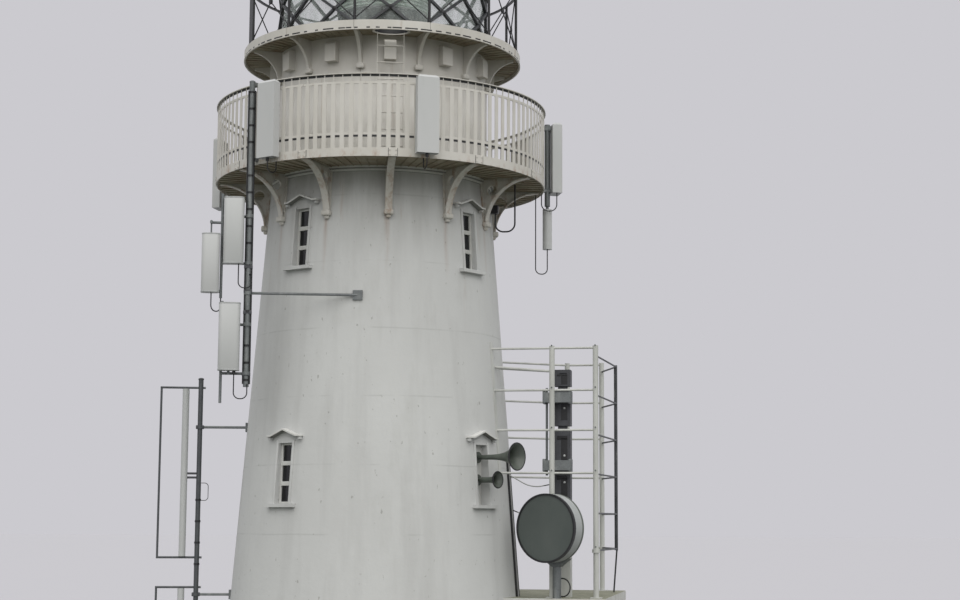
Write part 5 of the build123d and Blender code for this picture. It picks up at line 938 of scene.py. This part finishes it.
class LIGHTHOUSE_OT_windows(bpy.types.Operator):
    """Frames, panes, casings, sill beads and pointed hoods of the windows"""
    bl_idname = "lighthouse.windows"
    bl_label = "Windows"

    def execute(self, context):
        windows = [(azimuth, height) for height in WINDOW_HEIGHTS for azimuth in WINDOW_AZIMUTHS]
        openings = [facing(azimuth, tower_radius(height) - WINDOW_REVEAL, height) @ turned(-WINDOW_LEAN, "X")
                    for azimuth, height in windows if (azimuth, height) != BLANKED_WINDOW]
        width, depth, tall = WINDOW_SIZE
        unit = block(WINDOW_SIZE, centre=(0, depth / 2, 0))
        light = (tall - 2 * WINDOW_BORDER - 2 * TRANSOM) / 3
        for index in (-1, 0, 1):
            cut(unit, block((width - 2 * WINDOW_BORDER, 0.2, light), centre=(0, 0, index * (light + TRANSOM))))
        apply_modifier(unit, "BEVEL", width=0.006, segments=2, limit_method="ANGLE")
        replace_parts(fit(unit, "window_units", "wood", openings), "window_frames")
        pane = block((0.26, 0.008, 0.99), 0.002, 1, (0, 0.038, 0))
        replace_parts(fit(pane, "window_glazing", "pane", openings, angle=0), "window_panes")

        line = [(-0.39, 0.0), (-0.3, 0.0), (0.0, HOOD_RISE), (0.3, 0.0), (0.39, 0.0)]
        hood = sheet([(across, 0.0, rise) for across, rise in line],
                     [(across, 0.17, rise) for across, rise in line], 0.034, 1)
        hoods = [facing(azimuth, tower_radius(height + HOOD_FOOT) + 0.105, height + HOOD_FOOT)
                 for azimuth, height in windows]
        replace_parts(fit(hood, "window_hood_bands", "ledge", hoods), "window_hoods")
        nibs = [hood @ at(side * 0.355, 0.075, -0.026) for hood in hoods for side in (-1, 1)]
        fit(block((0.05, 0.08, 0.05), 0.008, 2), "hood_nibs", "stone", nibs)
        posts = [facing(azimuth, tower_radius(height) + 0.003, height) @ turned(-WALL_LEAN, "X")
                 @ at(side * 0.19, 0.006, 0.012) for azimuth, height in windows for side in (-1, 1)]
        fit(block((0.05, 0.03, 1.14), 0.004, 2), "window_casings", "stone", posts)
        beads = [facing(azimuth, tower_radius(height) + 0.105, height - 0.545) for azimuth, height in windows]
        fit(block((0.56, 0.03, 0.022), 0.008, 3), "sill_beads", "ledge", beads)
        return {"FINISHED"}


class LIGHTHOUSE_OT_doors(bpy.types.Operator):
    """Boards, hinges and knobs of the two doors"""
    bl_idname = "lighthouse.doors"
    bl_label = "Door detail"

    def execute(self, context):
        annex = at(*over_annex(*ANNEX_DOOR)) @ turned(ANNEX_AZIMUTH)
        gallery = facing(180, GALLERY_DOOR_RADIUS, DECK_TOP)
        boards = [annex @ at(-0.35 + 0.14 * index, -0.026, 1.12) for index in range(6)]
        boards += [gallery @ at(-0.28 + 0.14 * index, -0.003, 0.9) @ Matrix.Diagonal((1, 1, 0.85, 1))
                   for index in range(5)]
        fit(block((0.128, 0.012, 1.98), 0.005), "door_boards", "wood", boards, angle=0)
        knob = [(0.0, 0.0), (0.03, 0.0), (0.012, 0.01), (0.012, 0.03), (0.028, 0.04), (0.026, 0.06), (0.0, 0.068)]
        knobs = [annex @ at(0.36, -0.03, 1.05), gallery @ at(0.3, -0.005, 0.95)]
        fit(lathe(knob, 20, turned(90, "X")), "door_knobs", "zinc", knobs)
        hinges = [annex @ at(-0.26, -0.036, height) for height in (0.35, 1.85)]
        hinges += [gallery @ at(-0.18, -0.013, height) for height in (0.3, 1.5)]
        fit(block((0.36, 0.01, 0.045), 0.004), "door_hinges", "zinc", hinges, angle=0)
        return {"FINISHED"}


class LIGHTHOUSE_OT_fog_signal(bpy.types.Operator):
    """Bolts of the stand, rims of the trumpets, hoops of the drum, and fixings of the horn stack"""
    bl_idname = "lighthouse.fog_signal"
    bl_label = "Fog signal detail"

    def execute(self, context):
        heights = [height + 0.045 for height in STAND_RAILS]
        bolts = on_stand(3.35, -0.635, heights) + on_stand(4.14, -0.635, heights)
        bolt = bolt_head(context.scene.lighthouse.bolt_radius, 0.02)
        fit(bolt, "stand_bolts", "zinc", bolts, angle=0)
        studs = on_stand(3.545, -0.336, (7.06, 6.2, 5.72))
        fit(bolt_head(0.02, 0.024, 10), "stack_studs", "cover", studs, angle=0)
        jaws = on_stand(3.2, -0.455, (7.24, 6.02)) + on_stand(3.67, -0.455, (7.24, 6.02))
        fit(block((0.05, 0.24, 0.23), 0.012, 2), "clamp_jaws", "zinc", jaws)

        rims = []
        lip = ((-0.016, 0.004), (-0.014, -0.012), (-0.003, -0.018), (0.004, -0.006), (0.002, 0.004))
        start = tower_radius(WINDOW_HEIGHTS[0] + 0.53) - 0.12
        for height, length, mouth in TRUMPETS:
            end = facing(WINDOW_AZIMUTHS[0], start + length, height) @ turned(90, "X")
            rims.append(lathe([(mouth + out, along) for out, along in lip], 48, end))
        fit(rims, "trumpet_rims", "black", slot="drum_grey")
        axis = at(*DRUM_BACK) @ turned(DRUM_AZIMUTH) @ turned(90, "X")
        hoop = [(0.599, 0.395), (0.607, 0.395), (0.607, 0.453), (0.574, 0.453), (0.574, 0.441), (0.599, 0.441)]
        fit(lathe(hoop, 72, axis), "drum_hoop", "black", slot="drum_grey")
        hoop = [(0.599, 0.125), (0.606, 0.13), (0.606, 0.17), (0.599, 0.175)]
        fit(lathe(hoop, 72, axis), "drum_back_hoop", "grey")

        upright = block((0.115, 0.006, 0.4), 0.002, 1, (0.04, 0, 0))
        crook = block((0.19, 0.006, 0.07), 0.002, 1, (0.0025, 0, 0.2))
        hooks = on_stand(3.5, -0.332, [5.6 + STACK_PITCH * index for index in range(3)])
        hooks.append(on_stand(3.5, -0.332, (7.575,))[0] @ Matrix.Diagonal((1, 1, 0.42, 1)))
        fit(join([upright, crook], "stack_hook"), "stack_hooks", "black", hooks, "horn_plastic", 0)
        return {"FINISHED"}


def seen_rays(tree):
    """One for the rays that look at the stage: those of the camera, of gloss and of glass."""
    rays = node(tree, "LightPath").node.outputs
    either = node(tree, "Math", {0: rays["Is Camera Ray"], 1: rays["Is Glossy Ray"]}, operation="MAXIMUM")
    return node(tree, "Math", {0: either, 1: rays["Is Transmission Ray"]}, operation="MAXIMUM")


def stage_floor():
    """Floor that is pale to look at, and as dim as grass in the light that it throws back."""
    pick()
    bpy.ops.mesh.primitive_plane_add(size=1200, location=(0, 0, -0.002))
    floor = settle(bpy.context.object, "stage_floor")
    material = bpy.data.materials.new("pale_floor")
    material.use_nodes = True
    tree = material.node_tree
    shader = tree.nodes["Principled BSDF"]
    shader.inputs["Roughness"].default_value = 0.9
    colour = node(tree, "Mix", {0: seen_rays(tree)}, 2, data_type="RGBA",
                  in_6=srgb("#5E6259"), in_7=srgb("#B3B2B7"))
    tree.links.new(colour, shader.inputs["Base Color"])
    floor.data.materials.append(material)


def overcast_sky(scene):
    """Even sky, a little greyer to look at than the light it gives, and one very soft sun."""
    world = bpy.data.worlds.new("overcast")
    world.use_nodes = True
    tree = world.node_tree
    tree.nodes.clear()
    light = node(tree, "Background", in_Color=srgb("#F4F5F7"), in_Strength=SKY_STRENGTH)
    seen = node(tree, "Background", in_Color=srgb("#CBCACF"), in_Strength=1.0)
    mixed = node(tree, "MixShader", {0: seen_rays(tree), 1: light, 2: seen})
    tree.links.new(mixed, tree.nodes.new("ShaderNodeOutputWorld").inputs[0])
    scene.world = world
    sun = bpy.data.lights.new("soft_sky_light", "SUN")
    sun.energy = SUN_STRENGTH
    sun.angle = math.radians(SUN_SPREAD)
    sun.color = srgb("#FFFDF8")[:3]
    lamp = bpy.data.objects.new("soft_sky_light", sun)
    scene.collection.objects.link(lamp)
    lamp.rotation_euler = Vector(SUN_SIDE).to_track_quat("Z", "Y").to_euler()


def photo_camera(scene):
    """Camera where the photo was taken from."""
    data = bpy.data.cameras.new("photo_camera")
    data.lens = EYE_LENS
    data.sensor_width = 36.0
    data.clip_end = 1000
    camera = bpy.data.objects.new("photo_camera", data)
    scene.collection.objects.link(camera)
    camera.matrix_world = at(*EYE) @ turned(-EYE_YAW) @ turned(90 + EYE_PITCH, "X") @ turned(EYE_ROLL)
    scene.camera = camera


class LIGHTHOUSE_OT_stage(bpy.types.Operator):
    """Floor, sky, light and camera"""
    bl_idname = "lighthouse.stage"
    bl_label = "Stage, light and camera"

    def execute(self, context):
        stage_floor()
        overcast_sky(context.scene)
        photo_camera(context.scene)
        context.scene.view_settings.view_transform = "Standard"
        return {"FINISHED"}


class LIGHTHOUSE_PT_panel(bpy.types.Panel):
    """Lists the settings and the steps that dress the lighthouse"""
    bl_idname = "LIGHTHOUSE_PT_panel"
    bl_label = "Lighthouse"
    bl_space_type = "VIEW_3D"
    bl_region_type = "UI"
    bl_category = "Lighthouse"

    def draw(self, context):
        for name in LighthouseSettings.__annotations__:
            self.layout.prop(context.scene.lighthouse, name)
        for step in STEPS:
            self.layout.operator(step.bl_idname)


STEPS = (
    LIGHTHOUSE_OT_finishes,
    LIGHTHOUSE_OT_balustrade,
    LIGHTHOUSE_OT_soffit,
    LIGHTHOUSE_OT_brackets,
    LIGHTHOUSE_OT_upper_gallery,
    LIGHTHOUSE_OT_lantern,
    LIGHTHOUSE_OT_masts,
    LIGHTHOUSE_OT_windows,
    LIGHTHOUSE_OT_doors,
    LIGHTHOUSE_OT_fog_signal,
    LIGHTHOUSE_OT_stage,
)
CLASSES = (LighthouseSettings, *STEPS, LIGHTHOUSE_PT_panel)


def register():
    """Registers the classes and the settings."""
    for item in CLASSES:
        bpy.utils.register_class(item)
    bpy.types.Scene.lighthouse = bpy.props.PointerProperty(type=LighthouseSettings)


def unregister():
    """Takes the settings and the classes away."""
    del bpy.types.Scene.lighthouse
    for item in reversed(CLASSES):
        bpy.utils.unregister_class(item)


def main():
    """Dresses the lighthouse."""
    register()
    for step in STEPS:
        group, name = step.bl_idname.split(".")
        getattr(getattr(bpy.ops, group), name)()


if __name__ == "__main__":
    main()
